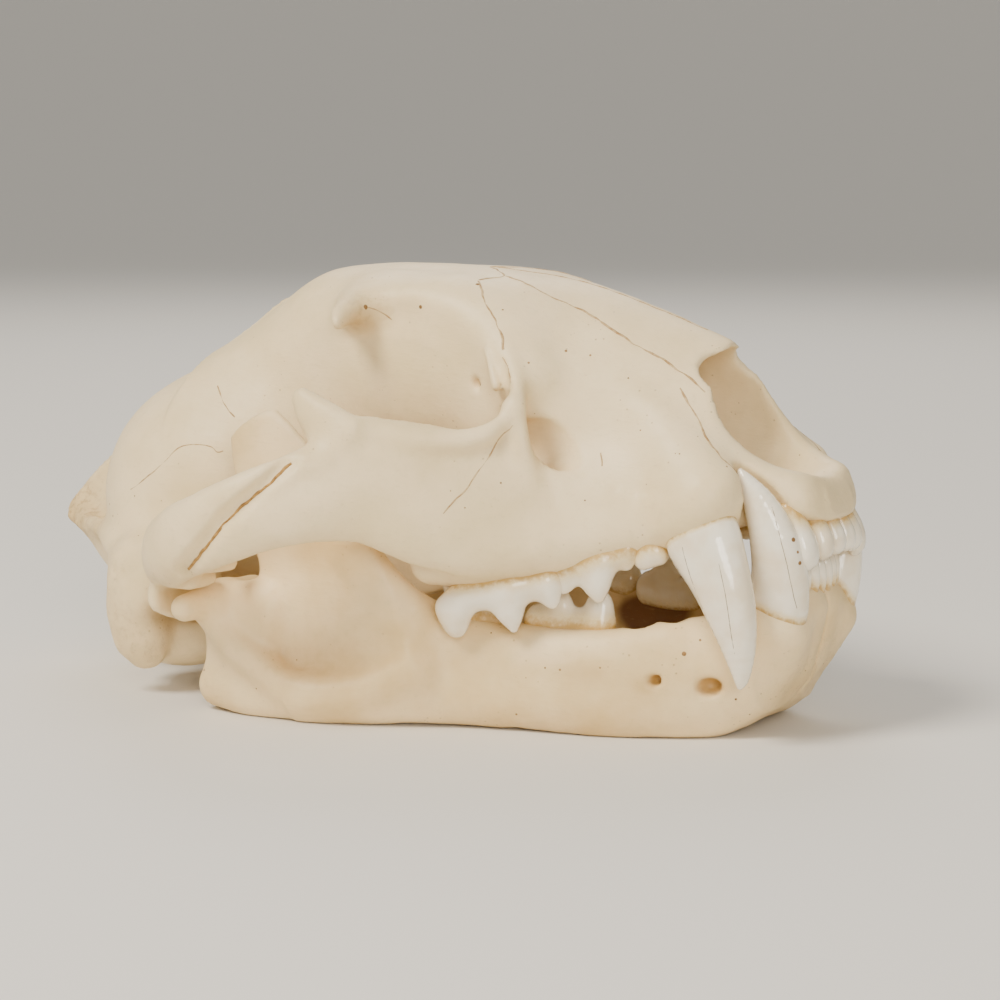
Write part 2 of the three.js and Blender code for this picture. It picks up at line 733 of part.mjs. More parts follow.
const skullOps = () => [
  ["add", 0, body(FACE)],
  ["add", 7, ell([-48.5, 0, 34], [33, 33.2, 24.6])],
  ["add", 8, ell([-61, 0, 24], [17, 31.5, 18])],
  ["add", 4, body(WEDGE)],
  ["add", 3, fin(CREST)],
  ["add", 4, bar(NUCHAL)],
  ["add", 6, bar([
    [-75, 0, 9.5, 12, 4.5],
    [-60, 0, 9.5, 12, 5],
    [-40, 0, 11.5, 10, 5.5],
    [-15, 0, 15, 8, 6],
  ])],
  ["add", 4, ell([-57.5, 22, 5], [14.8, 11, 10], [0, 0, -12])],
  ["add", 4, bar(PAROCCIPITAL, [1, 0, 0])],
  ["add", 3, ell([-56, 38.5, 13], [6, 4.5, 6])],
  ["add", 2.5, ell([-77.5, 11, 12.5], [6, 5.6, 8], [20, 0, 20])],
  ["cut", 2, bar([[-98, 0, 17.5, 9, 8], [-80, 0, 17.5, 8, 7.4], [-66, 0, 20, 7, 7]])],
  ["cut", 8, ell([17, 48, 46], [29, 25.5, 17])],
  ["add", 9, ell([17, 13, 45], [19, 12, 14])],
  ["add", 5, bar(ALVEOLAR)],
  ["add", 5, bar(CANINE_ROOT, [1, 0, 0])],
  ["add", 6, bar(ARCH)],
  ["add", 2, bar([
    [7, 55.4, 31, 1.6, 2],
    [-1, 61.2, 30.4, 2.2, 2.8],
    [-9, 64.6, 28.6, 2.8, 3.4],
    [-18, 65.4, 26, 3, 4],
    [-27, 63, 22, 3.2, 5],
    [-33, 58, 18, 3, 5],
  ])],
  ["cut", 4, bar([
    [-22, 70.4, 14.5, 3, 2.6],
    [-10, 71.6, 17.6, 3, 3],
    [4, 66.8, 18.6, 3, 3.6],
    [14, 58.5, 16.5, 3, 3.6],
  ])],
  ["add", 3, bar(JUGAL_SPUR, [1, 0, 0])],
  ["add", 5, bar(FRONTAL_SPUR)],
  ["add", 4, bar(BROW)],
  ["add", 3, bar(ORBIT_RIM)],
  ["add", 3, bar([[-46, 29, 10, 2.8, 4.5], [-46, 40, 9.5, 2.6, 4], [-44, 50, 11.5, 2.4, 3.4]])],
  ["add", 3, bar([[-31.5, 49, 13.4, 2, 2.4], [-30, 57, 14.4, 2.4, 2.8]])],
  ["add", 3, bar([[-26, 48, 16.4, 1.8, 2.8], [-25, 56, 17, 2.2, 3]])],
  ["cut", 3, bar([[-37, 26, 11.4, 4.6, 4.6], [-37, 44, 9.6, 5.2, 4.8], [-37, 62, 8.4, 5.6, 4.8]])],
  ["add", 3, bar(PTERYGOID)],
  ["cut", 7, ell([53, 36.5, 28], [13, 13, 10])],
  ["cut", 4, ell([42, 0, -3], [38, 13.5, 7])],
  ["cut", 2.5, bar([[24, 0, 10, 8, 5], [10, 0, 10, 9, 6], [-4, 0, 9.5, 8.6, 6]])],
  ["add", 2.5, bar([
    [36, 32.6, 19.6, 1.5, 2.6],
    [36.6, 33.4, 26, 1.7, 2.8],
    [37.2, 33, 33.6, 1.7, 2.4],
  ], [1, 0, 0])],
  ["cut", 0.7, bar([
    [47, 28, 23.6, 2.7, 4.2],
    [41, 27.4, 24.6, 3.4, 5.2],
    [35, 27.4, 25.6, 3.6, 5.2],
    [28, 28.6, 26.4, 3, 4.6],
  ])],
  ["cut", 1.5, bar([[-50, 28, 8, 2.6, 2.6], [-50.5, 35, 7, 2.8, 2.8], [-51, 42, 6.5, 3, 3]])],
  ["cut", 1.5, beyond([71.6, 0, 36.5], [0.9, 0, 0.42])],
  ["cut", 0.8, ell([74, 9, 33.5], [7.6, 4.8, 5.4])],
  ["cut", 2, bar([[90, -20, 28, 19.6, 19.6], [90, 20, 28, 19.6, 19.6]])],
  ["cut", 2, bar([
    [90, 0, 15, 9, 6.5],
    [78, 0, 17, 10.8, 9.4],
    [69, 0, 21.5, 12.4, 13.6],
    [58, 0, 25, 10.5, 12.5],
    [46, 0, 25, 7, 9],
  ])],
];

// teeth of one side, left; z = 0 is the gum line, crowns reach down, roots sit in the bone
const UPPER_CANINE = [
  [62.5, 19, 12, 3.6, 5],
  [64.4, 20.6, 7, 4.9, 6.8],
  [66, 22.4, 1, 5.4, 7.6],
  [67.9, 23.2, -6, 4.8, 6.4],
  [69, 23.5, -13, 4.1, 5.2],
  [69, 23.3, -20, 3, 3.6],
  [67.9, 22.6, -26, 1.5, 1.8],
  [66.9, 22.2, -28.2, 0.6, 0.7],
];
const P4 = [
  ["add", 0, bar([
    [15.4, 36.6, -2.8, 2.6, 3.4],
    [20, 35.8, -0.6, 3.2, 3.6],
    [27, 34.2, -0.4, 3.4, 3.8],
    [35, 30.8, -1, 2.9, 3.4],
  ])],
  ["add", 1.6, bar([
    [27, 34.2, -1, 3.1, 4.6],
    [27.3, 34.2, -5, 2.4, 3.2],
    [27.4, 34.2, -8.8, 0.7, 0.9],
  ], [1, 0, 0])],
  ["add", 1.6, bar([
    [16.6, 36.6, -3, 2.5, 3.2],
    [16, 36.6, -5.6, 2, 2.8],
    [15.9, 36.5, -7.2, 1.1, 1.9],
  ], [1, 0, 0])],
  ["add", 1.6, bar([
    [34.8, 30.8, -1, 2.6, 2.6],
    [35, 30.8, -4.2, 1.8, 2],
    [35.2, 30.9, -5.6, 0.9, 1.1],
  ], [1, 0, 0])],
  ["add", 2, bar([[31.5, 27, 1, 2.6, 2.8], [31.8, 25.4, -1.8, 1.4, 1.6]], [1, 0, 0])],
];
const P3 = [
  ["add", 0, bar([
    [38, 28.2, 0.8, 2.8, 3.6],
    [44, 26.4, 1.4, 3.2, 3.8],
    [50.5, 24.2, 2.2, 2.6, 3],
  ])],
  ["add", 1.6, bar([
    [43.6, 26.6, 0, 3, 4.6],
    [43.4, 26.8, -3.2, 2.4, 3.2],
    [43.3, 26.9, -6.2, 1, 1.3],
  ], [1, 0, 0])],
  ["add", 1.6, bar([[37.4, 28.6, -0.2, 2.6, 3], [36.9, 28.8, -2.4, 1.7, 2.3]], [1, 0, 0])],
  ["add", 1.4, bar([[49.6, 24.6, 1, 2.2, 2.2], [49.8, 24.8, -1, 1.1, 1.2]], [1, 0, 0])],
];
const P2 = [
  ["add", 0, bar([[52.7, 23.4, -0.5, 1.9, 2.2], [56, 22.7, -0.2, 1.9, 2.2]])],
  ["add", 1.4, bar([[54.4, 22.8, 4, 2, 2.6], [54.3, 23, 1, 2.2, 2.8]], [1, 0, 0])],
];
const M1 = [["add", 0, bar([[13, 30, 3, 1.8, 2], [13, 29.6, -0.6, 2.6, 1.8]], [1, 0, 0])]];
// upper incisors: middle y, half width, length of the crown
const UPPER_INCISORS = [
  [2.4, 2.1, 6.2],
  [6.8, 2.3, 6.8],
  [11.4, 2.9, 9],
];
// cheek bone outline in side view: its seam with the temple bone, then with the upper jaw
const SEAM_REAR = [
  [-6, 43],
  [-0.6, 38.4],
  [-1.2, 34],
  [-1.6, 30.4],
  [-9.4, 25.4],
  [-16.7, 21.4],
  [-23.3, 17.8],
  [-28.5, 14.2],
  [-36, 8],
];
const SEAM_FRONT = [
  [8, 2],
  [14, 8.8],
  [21, 14.2],
  [29, 19.8],
  [34.4, 25.6],
  [38.6, 30.2],
  [46, 36],
];

// Lower jaw, left half, in the resting frame.
const JAW = [
  [-20, 40.5, 4, 30, 2, 14, 2.4, 2.4],
  [-10, 38.5, 4.6, 34, 1.6, 14, 2.4, 2.4],
  [1, 34.4, 4.9, 27.5, 1.6, 13, 2.4, 2.4],
  [9, 29.6, 5.2, 23, 0.9, 12, 2.4, 2.4],
  [25, 26.6, 5.6, 21.2, -0.3, 11, 2.4, 2.3],
  [38, 23.6, 5.8, 21.4, -0.6, 11, 2.4, 2.3],
  [50, 18.4, 6.4, 23.4, -0.6, 11.5, 2.4, 2.3],
  [59, 12.8, 7.2, 24.6, 0.2, 12.5, 2.4, 2.3],
  [66, 9.4, 7.4, 25, 5.4, 15, 2.4, 2.2],
];
const CHIN = [
  [69.6, 3.4, 25.4, 8, 5.6],
  [66.8, 3.4, 17, 8.2, 6.1],
  [59.6, 4.2, 9.8, 8.6, 6.6],
  [52.5, 6.5, 7, 8, 5],
];
const ANGLE = [
  [16, 28.6, 6.5, 3, 4.5],
  [4, 33, 6, 3, 4],
  [-8, 37.6, 5.2, 3.4, 4],
  [-20, 41, 4.2, 3.6, 4],
  [-32, 42, 3.6, 3.6, 4],
  [-43.5, 41, 4.2, 3, 3.6],
];
const FOSSA_RIDGE = [
  [-40.5, 46.4, 21.6, 2.6, 3],
  [-36.5, 46.2, 16.6, 2.4, 2.6],
  [-29, 45.8, 11, 2.4, 2.4],
  [-21.5, 44.6, 6.8, 2.4, 2.4],
  [-10, 41.8, 7.4, 2.2, 2.2],
  [3, 38, 11, 2, 2.2],
];
const CORONOID = [
  [-12, 40, 10, 3.6, 16],
  [-17.5, 40.6, 27, 3, 15],
  [-24, 40.6, 42, 2.4, 11.6],
  [-30.6, 40, 52.5, 2, 9.4],
  [-34.4, 39.6, 58.8, 1.7, 6.6],
];
const jawOps = () => [
  ["add", 0, body(JAW)],
  ["add", 5, bar(CHIN, [1, 0, 0])],
  ["add", 4, bar([
    [68.2, 12, 22.5, 6, 7.4],
    [64, 9.6, 15, 5.6, 7],
    [58, 8.4, 9.4, 5, 6],
  ], [1, 0, 0])],
  ["add", 4, bar([[65, 1, 13.4, 6, 6], [58, 1.5, 7.8, 6.5, 5.6], [49, 3, 6, 6, 4.4]])],
  ["add", 5, bar(CORONOID, [1, 0, 0])],
  ["add", 4, bar(ANGLE)],
  ["cut", 5, ell([-17, 50.5, 24], [25, 9, 16], [0, 8, 0])],
  ["add", 6, bar([
    [-36.5, 44, 22, 2.6, 6],
    [-37.5, 43, 14, 2.6, 7],
    [-37.5, 42, 7, 2.8, 7],
  ], [1, 0, 0])],
  ["cut", 5, bar([
    [-35, 48.8, 22, 3.4, 3.4],
    [-29.5, 48.2, 16.6, 3.8, 3.6],
    [-21, 46.8, 12.2, 4, 3.6],
    [-10, 44.8, 12.6, 3.4, 3.4],
    [-2, 43.2, 17, 2.4, 3],
  ])],
  ["add", 4, bar([[-11, 40.6, 35, 1.6, 2.4], [-5, 39.4, 29, 1.8, 2.4], [2, 36.6, 23, 2, 2.2]])],
  ["add", 6, bar(FOSSA_RIDGE)],
  ["add", 4, bar([[-39, 42, 21.6, 3.6, 5], [-30, 41.5, 20, 3.2, 7]])],
  ["add", 3, bar([
    [-40.5, 32, 23.6, 3.4, 3.4],
    [-41, 44, 23.4, 3.9, 3.7],
    [-41, 55, 23.2, 2.9, 2.9],
  ])],
  ["cut", 0.8, ell([58.2, 19.8, 10.9], [2.2, 3, 1.7])],
  ["cut", 0.8, ell([48.9, 26, 12.1], [1.1, 4, 1.1])],
  ["cut", 1, ell([43.4, 20.6, 23], [2.6, 1.9, 3])],
  ["cut", 1, ell([49.6, 18, 24.6], [2.4, 1.7, 3])],
];
const LOWER_CANINE = [
  [60.5, 11, 11, 3.2, 4],
  [65.5, 11.6, 18, 4.4, 5.8],
  [68.7, 12, 25, 4.8, 6.2],
  [69.9, 13.2, 33, 4.5, 5.7],
  [69.2, 14.6, 40, 3.9, 4.9],
  [66.9, 15.8, 46.5, 2.8, 3.4],
  [64.2, 16.7, 51, 1.5, 1.8],
  [63, 17, 53.2, 0.5, 0.6],
];
const LP4 = [
  ["add", 0, bar([
    [22.6, 24.2, 21.2, 2.8, 3.8],
    [29, 23, 20.8, 3.1, 3.8],
    [35.4, 21.7, 21.2, 2.8, 3.8],
  ])],
  ["add", 1.4, bar([
    [26, 23.8, 22, 2.7, 4],
    [27.2, 23.4, 25.2, 2, 3],
    [27.8, 23.2, 27, 1, 1.6],
  ], [1, 0, 0])],
  ["add", 1.4, bar([
    [35, 21.9, 22, 2.8, 3.4],
    [35.2, 21.8, 25.4, 2.2, 2.9],
    [35, 21.8, 27.6, 1.2, 1.9],
  ], [1, 0, 0])],
];
const LM1 = [
  ["add", 0, bar([[5.5, 29, 23, 2.5, 4], [11, 28, 22, 2.8, 4.2], [17, 26.2, 21.6, 2.6, 4]])],
  ["add", 1.6, bar([[15.6, 26.4, 22, 2.3, 3.8], [16, 25.4, 27, 0.9, 1.8]], [1, 0, 0])],
  ["add", 1.6, bar([[8.4, 28.2, 22, 2.5, 4.2], [8, 27.4, 26.8, 0.9, 2]], [1, 0, 0])],
];
const LOWER_INCISORS = [
  [1.5, 1.25, 5],
  [4.1, 1.4, 5.4],
  [6.9, 1.6, 5.8],
];

const tooth = (ops, target) => {
  const lo = [1e9, 1e9, 1e9];
  const hi = [-1e9, -1e9, -1e9];
  for (const [, , p] of ops)
    for (let i = 0; i < 3; i++) {
      lo[i] = Math.min(lo[i], p.box[i] - 1.5);
      hi[i] = Math.max(hi[i], p.box[i + 3] + 1.5);
    }
  return fromField(ops, lo, hi, TOOTH_GRID, target);
};
const both = (s) => [s, s.mirror([0, 1, 0])];

// upper incisor: a small blade with its root in the bone above
const upperIncisor = ([y, w, len]) =>
  horn(
    [
      [82 - y * y * 0.017, y * 0.96, 3, w * 0.8, 2],
      [83.6 - y * y * 0.017, y, -3, w, 2.3],
      [84 - y * y * 0.017, y, -3 - len * 0.4, w, 1.9],
      [83.4 - y * y * 0.017, y, -3 - len * 0.62, w * 0.6, 0.8],
    ],
    [1, 0, 0],
    8,
    2,
  );
const lowerIncisor = ([y, w, len]) =>
  horn(
    [
      [71.6 - y * y * 0.02, y, 26, w * 0.7, 2],
      [72.6 - y * y * 0.02, y, 30.5, w, 2],
      [72.8 - y * y * 0.02, y, 30.5 + len * 0.6, w, 1.5],
      [72.4 - y * y * 0.02, y, 30.5 + len * 0.85, w * 0.8, 0.8],
    ],
    [1, 0, 0],
    8,
    2,
  );

let skull = fromField(skullOps(), [-108, 0, -8], [92, 71, 78], GRID, BUDGET.skull, true);
const upperTeeth = [
  ...both(tooth(P4, BUDGET.carnassial)),
  ...both(tooth(P3, BUDGET.premolar)),
  ...both(tooth(P2, BUDGET.peg)),
  ...both(tooth(M1, BUDGET.peg)),
  ...UPPER_INCISORS.flatMap((t) => both(upperIncisor(t))),
];
skull = skull.add(Manifold.union(upperTeeth));
skull = main(skull.subtract(Manifold.union(both(horn(UPPER_CANINE, [1, 0, 0], 12, 2, SOCKET_GAP)))));

// cheek bones are parted from the skull along their two seams
const widen = (seam, g) =>
  seam.map(([x, z], i) => {
    const a = seam[Math.max(0, i - 1)];
    const b = seam[Math.min(seam.length - 1, i + 1)];
    const L = Math.hypot(b[0] - a[0], b[1] - a[1]);
    return [x + ((b[1] - a[1]) / L) * g, z - ((b[0] - a[0]) / L) * g];
  });
const outline = (g) => [...widen(SEAM_REAR, g), ...widen(SEAM_FRONT, g), [46, 54], [-6, 54]];
const cheekSide = both(prism(outline(0), 34.2, 80));
const cheekRoom = both(prism(outline(SUTURE_GAP), 34.2 - SUTURE_GAP, 80));
const cheeks = cheekSide.map((s) => main(skull.intersect(s)));
skull = main(skull.subtract(Manifold.union(cheekRoom)));

let jaw = fromField(jawOps(), [-52, -9, -6], [84, 64, 66], GRID, BUDGET.jaw);
jaw = jaw.trimByPlane([0, 1, 0], SYMPHYSIS_GAP).trimByPlane([0, 0, 1], 0);
jaw = main(
  jaw.add(
    Manifold.union([
      tooth(LP4, BUDGET.premolar),
      tooth(LM1, BUDGET.carnassial),
      ...LOWER_INCISORS.map(lowerIncisor),
    ]),
  ),
);
jaw = jaw.subtract(horn(LOWER_CANINE, [1, 0, 0], 12, 2, SOCKET_GAP));
jaw = main(jaw.trimByPlane([0, 1, 0], SYMPHYSIS_GAP));
const upperCanines = both(horn(UPPER_CANINE, [1, 0, 0], 12, 2));
const lowerCanines = both(horn(LOWER_CANINE, [1, 0, 0], 12, 2));

// Nodes.
const settle = (s) => s.translate([0, 0, RAISE]).rotate([0, -PITCH, 0]);
const group = new THREE.Group();
group.name = "cougar_skull";

function node(name, s, look) {
  const m = s.translate([SHIFT_X, 0, 0]).getMesh();
  const g = new THREE.BufferGeometry();
  const p = new Float32Array(m.numVert * 3);
  for (let i = 0; i < m.numVert; i++)
    for (let j = 0; j < 3; j++) p[3 * i + j] = m.vertProperties[i * m.numProp + j];
  g.setAttribute("position", new THREE.BufferAttribute(p, 3));
  g.setIndex(new THREE.BufferAttribute(new Uint32Array(m.triVerts), 1));
  g.computeVertexNormals();
  const mesh = new THREE.Mesh(g, new THREE.MeshStandardMaterial(look));
  mesh.name = name;
  group.add(mesh);
}

// the closed lower canines lie in a hollow of the muzzle
const canineRoom = both(horn(LOWER_CANINE, [1, 0, 0], 12, 2, CANINE_CLEAR));
const settled = main(settle(skull).subtract(Manifold.union(canineRoom)));
node("cranium", settled, BONE);
node("jugal_left", settle(cheeks[0]), BONE_CHEEK);
node("jugal_right", settle(cheeks[1]), BONE_CHEEK);
node("mandible_left", jaw, BONE_JAW);
node("mandible_right", jaw.mirror([0, 1, 0]), BONE_JAW);
node("upper_canine_left", settle(upperCanines[0]), ENAMEL);
node("upper_canine_right", settle(upperCanines[1]), ENAMEL);
node("lower_canine_left", lowerCanines[0], ENAMEL);
node("lower_canine_right", lowerCanines[1], ENAMEL);

export default group;
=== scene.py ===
# %% [markdown]
# The skull of a cougar lies on its lower jaw, jaws closed. Everything here is bone or
# tooth, and nothing moves, so all pieces ride on the one body, "root". The frame gives
# the true size in metres; the pieces below are worked out in millimetres.

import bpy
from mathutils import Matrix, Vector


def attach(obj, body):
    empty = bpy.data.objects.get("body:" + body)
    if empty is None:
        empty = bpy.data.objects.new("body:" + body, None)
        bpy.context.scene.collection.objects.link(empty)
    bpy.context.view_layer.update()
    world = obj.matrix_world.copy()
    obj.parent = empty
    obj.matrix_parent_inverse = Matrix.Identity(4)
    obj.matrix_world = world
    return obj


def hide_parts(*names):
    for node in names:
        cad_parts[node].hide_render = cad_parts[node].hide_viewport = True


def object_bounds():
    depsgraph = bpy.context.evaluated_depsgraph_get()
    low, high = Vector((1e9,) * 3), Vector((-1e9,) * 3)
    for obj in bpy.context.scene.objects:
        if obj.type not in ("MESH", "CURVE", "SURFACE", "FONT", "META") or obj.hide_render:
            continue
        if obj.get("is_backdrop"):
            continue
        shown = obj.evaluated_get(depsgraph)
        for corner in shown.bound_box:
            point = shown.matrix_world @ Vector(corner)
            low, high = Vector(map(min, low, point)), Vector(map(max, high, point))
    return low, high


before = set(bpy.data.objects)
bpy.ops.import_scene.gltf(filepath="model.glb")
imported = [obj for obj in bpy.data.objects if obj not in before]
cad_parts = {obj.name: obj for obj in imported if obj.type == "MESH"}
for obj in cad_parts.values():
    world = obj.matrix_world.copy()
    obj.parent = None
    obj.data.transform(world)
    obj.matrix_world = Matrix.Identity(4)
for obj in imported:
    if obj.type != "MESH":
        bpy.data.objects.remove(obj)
CAD_LO, CAD_HI = (list(c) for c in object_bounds())

import math

import bpy
import numpy as np
from mathutils import Euler, Vector

print("CAD box", [round(1000 * (b - a), 1) for a, b in zip(CAD_LO, CAD_HI)], "mm")

# %% [markdown]
# Bone has no straight edges: every part flows into the next. So each bone is a distance
# field, a number at every point that is negative inside. Simple forms (ellipsoids, bars
# along a curve, bodies lofted through stations) are joined with a soft minimum, which
# fills the join like a fillet, and cut away in the same soft manner.

# %% Forms that give a signed distance
def round3(a, b, c, ra, rb, rc):
    k0 = np.sqrt((a / ra) ** 2 + (b / rb) ** 2 + (c / rc) ** 2)
    k1 = np.sqrt((a / ra**2) ** 2 + (b / rb**2) ** 2 + (c / rc**2) ** 2) + 1e-6
    return k0 * (k0 - 1) / k1


def ell(c, r, turn=(0, 0, 0)):
    """Ellipsoid: centre, half sizes, turns in degrees about X, Y and Z."""
    m = np.array(Euler([math.radians(t) for t in turn], "XYZ").to_matrix(), np.float32)
    R = max(r)

    def at(x, y, z):
        p, q, s = x - c[0], y - c[1], z - c[2]
        return round3(*(p * m[0, i] + q * m[1, i] + s * m[2, i] for i in range(3)), *r)

    return [([v - R for v in c], [v + R for v in c], at)]


def smooth_rows(rows, n):
    """Points of a smooth run through rows of numbers, n steps to a span."""
    r = np.array(rows, float)
    ends = np.vstack([2 * r[0] - r[1], r, 2 * r[-1] - r[-2]])
    out = []
    for p0, p1, p2, p3 in zip(ends[:-3], ends[1:-2], ends[2:-1], ends[3:]):
        v0, v1, d = (p2 - p0) / 2, (p3 - p1) / 2, p2 - p1
        for t in np.arange(n) / n:
            out.append(p1 + v0 * t + (3 * d - 2 * v0 - v1) * t * t + (v0 + v1 - 2 * d) * t**3)
    return np.array(out + [r[-1]])


def bar(rows, up=(0, 0, 1), n=4):
    """Bar along rows of x, y, z, half size across, half size along "up"."""
    pts = smooth_rows(rows, n)
    made = []
    for a, b in zip(pts[:-1], pts[1:]):
        d = b[:3] - a[:3]
        size = np.linalg.norm(d)
        d = d / size
        side = np.cross(d, up)
        side /= np.linalg.norm(side)
        top = np.cross(side, d)

        def at(x, y, z, a=a, b=b, d=d, side=side, top=top, size=size):
            p, q, s = x - a[0], y - a[1], z - a[2]
            h = p * d[0] + q * d[1] + s * d[2]
            t = np.clip(h / size, 0, 1)
            ra = np.maximum(0.2, a[3] + (b[3] - a[3]) * t)
            rb = np.maximum(0.2, a[4] + (b[4] - a[4]) * t)
            return round3(
                p * side[0] + q * side[1] + s * side[2],
                p * top[0] + q * top[1] + s * top[2],
                h - t * size,
                ra,
                rb,
                np.minimum(ra, rb),
            )

        R = max(*a[3:5], *b[3:5])
        made.append((np.minimum(a, b)[:3] - R, np.maximum(a, b)[:3] + R, at))
    return made


def station(rows, x):
    """Every column of a table of stations at x, smooth between stations."""
    r = np.array(rows, float)
    i = int(np.clip(np.searchsorted(r[:, 0], x) - 1, 0, len(r) - 2))
    w = r[i + 1, 0] - r[i, 0]
    t = min(1, max(0, (x - r[i, 0]) / w))

    def slope(q):
        lo, hi = r[max(0, q - 1)], r[min(len(r) - 1, q + 1)]
        return (hi - lo) / (hi[0] - lo[0]) * w

    a, b, d = slope(i), slope(i + 1), r[i + 1] - r[i]
    return r[i] + a * t + (3 * d - 2 * a - b) * t * t + (a + b - 2 * d) * t**3


def columns(rows, x):
    s = np.array([station(rows, v) for v in x.ravel()], np.float32)
    return [s[:, j].reshape(-1, 1, 1) for j in range(s.shape[1])]


def body(rows):
    """Stations x, middle y, half width, top, bottom, widest height, roundness above, below."""
    r = np.array(rows, float)
    wide = (r[:, 1] + r[:, 2]).max()

    def at(x, y, z):
        _, mid, half, hi, lo, wz, ph, pl = columns(rows, x)
        up = z > wz
        h = np.where(up, hi - wz, wz - lo)
        p = np.where(up, ph, pl)
        g = (np.abs(y - mid) / half) ** p + (np.abs(z - wz) / h) ** p
        d = (g ** (1 / p) - 1) * np.minimum(half, h)
        return np.maximum(d, np.maximum(r[0, 0] - x, x - r[-1, 0]))

    return [((r[0, 0], -wide, r[:, 4].min()), (r[-1, 0], wide, r[:, 3].max()), at)]


def fin(rows):
    """Upright plate in the middle plane: stations x, top, bottom, half thickness."""
    r = np.array(rows, float)

    def at(x, y, z):
        _, hi, lo, half = columns(rows, x)
        d = np.maximum(np.maximum(np.abs(y) - half, z - hi), lo - z)
        return np.maximum(d, np.maximum(r[0, 0] - x, x - r[-1, 0]))

    return [((r[0, 0], -4, r[:, 2].min()), (r[-1, 0], 4, r[:, 1].max()), at)]


def beyond(p, n):
    """Everything in front of a plane through p with normal n."""
    u = np.array(n, float) / np.linalg.norm(n)
    at = lambda x, y, z: -((x - p[0]) * u[0] + (y - p[1]) * u[1] + (z - p[2]) * u[2])
    return [((-1e3,) * 3, (1e3,) * 3, at)]


# %% [markdown]
# The field is sampled on an even grid and its surface is found with surface nets: one
# point in every cell that the surface crosses, at the mean of its edge crossings, and
# one four-sided face round every crossed edge.

# %% Sample a field and skin it
class Field:
    def __init__(self, ops, lo, hi, step, mirror=False):
        self.h = step
        self.lo = np.array(lo, float)
        n = [int(math.ceil((b - a) / step)) + 1 for a, b in zip(lo, hi)]
        self.f = np.full(n, 40, np.float32)
        for kind, k, forms in ops:
            self.apply(kind, k, forms)
        if mirror:
            self.f = np.concatenate([self.f[:, :0:-1], self.f], axis=1)
            self.lo[1] = -step * (n[1] - 1)

    def part(self, lo, hi, pad):
        a = [max(0, int((v - pad - o) / self.h)) for v, o in zip(lo, self.lo)]
        b = [
            max(0, min(n, int((v + pad - o) / self.h) + 2))
            for v, o, n in zip(hi, self.lo, self.f.shape)
        ]
        return [slice(i, max(i, j)) for i, j in zip(a, b)]

    def axes(self, cut):
        """Places of the samples along x, y and z, shaped to spread over a grid."""
        count = [np.arange(c.start, c.stop, dtype=np.float32) for c in cut]
        x, y, z = (c * self.h + o for c, o in zip(count, self.lo))
        return x[:, None, None], y[None, :, None], z[None, None, :]

    def apply(self, kind, k, forms):
        pad = k + 3 * self.h
        lo = np.min([f[0] for f in forms], axis=0)
        hi = np.max([f[1] for f in forms], axis=0)
        whole = self.part(lo, hi, pad)
        d = np.full([c.stop - c.start for c in whole], 40, np.float32)
        if d.size == 0:
            return
        for flo, fhi, at in forms:
            cut = self.part(flo, fhi, pad)
            if any(c.stop <= c.start for c in cut):
                continue
            here = tuple(slice(c.start - w.start, c.stop - w.start) for c, w in zip(cut, whole))
            d[here] = np.minimum(d[here], at(*self.axes(cut)))
        s = 1 if kind == "add" else -1
        p = s * self.f[tuple(whole)]
        m = np.maximum(k - np.abs(p - d), 0) / max(k, 1e-6)
        self.f[tuple(whole)] = s * (np.minimum(p, d) - m * m * k * 0.25)

    def sample(self, grid, v):
        """Value of a grid at points v, straight-line between samples."""
        g = np.clip((v - self.lo) / self.h, 0, np.array(grid.shape) - 1.001)
        i = g.astype(int)
        t = g - i
        out = 0
        for c in range(8):
            o = np.array([c & 1, c >> 1 & 1, c >> 2])
            w = np.prod(np.where(o, t, 1 - t), axis=1)
            out = out + w * grid[tuple((i + o).T)]
        return out

    def slope(self, v):
        """Outward direction of the surface at points v."""
        e = 0.8 * self.h
        g = [
            self.sample(self.f, v + e * d) - self.sample(self.f, v - e * d)
            for d in np.eye(3)
        ]
        g = np.stack(g, axis=1)
        return g / (np.linalg.norm(g, axis=1, keepdims=True) + 1e-9)

    def skin(self):
        f = self.f
        ins = f < 0
        n = [s - 1 for s in f.shape]
        off = np.array([[c & 1, c >> 1 & 1, c >> 2] for c in range(8)])
        corner = [tuple(slice(o, size + o) for o, size in zip(c, n)) for c in off]
        count = sum(ins[c].astype(np.int8) for c in corner)
        cells = np.argwhere((count > 0) & (count < 8))
        number = np.full(n, -1, np.int32)
        number[tuple(cells.T)] = np.arange(len(cells))
        val = np.stack([f[tuple((cells + o).T)] for o in off], axis=1)
        total = np.zeros((len(cells), 3))
        hits = np.zeros((len(cells), 1))
        for a in range(8):
            for b in range(a + 1, 8):
                if bin(a ^ b).count("1") != 1:
                    continue
                va, vb = val[:, a], val[:, b]
                on = ((va < 0) != (vb < 0))[:, None]
                t = np.where(on[:, 0], va / np.where(va == vb, 1, va - vb), 0)[:, None]
                total += np.where(on, off[a] + (off[b] - off[a]) * t, 0)
                hits += on
        verts = self.lo + (cells + total / hits) * self.h
        faces = []
        for ax in range(3):
            u, w = (ax + 1) % 3, (ax + 2) % 3
            lead = [slice(1, -1)] * 3
            lead[ax] = slice(0, -1)
            nxt = list(lead)
            nxt[ax] = slice(1, None)
            here, there = ins[tuple(lead)], ins[tuple(nxt)]
            for inner, turn in ((here & ~there, False), (there & ~here, True)):
                e = np.argwhere(inner)
                e[:, u] += 1
                e[:, w] += 1
                ring = []
                for du, dw in ((-1, -1), (0, -1), (0, 0), (-1, 0)):
                    q = e.copy()
                    q[:, u] += du
                    q[:, w] += dw
                    ring.append(number[tuple(q.T)])
                quad = np.stack(ring, axis=1)
                faces.append(quad[:, ::-1] if turn else quad)
        return verts, np.concatenate(faces)


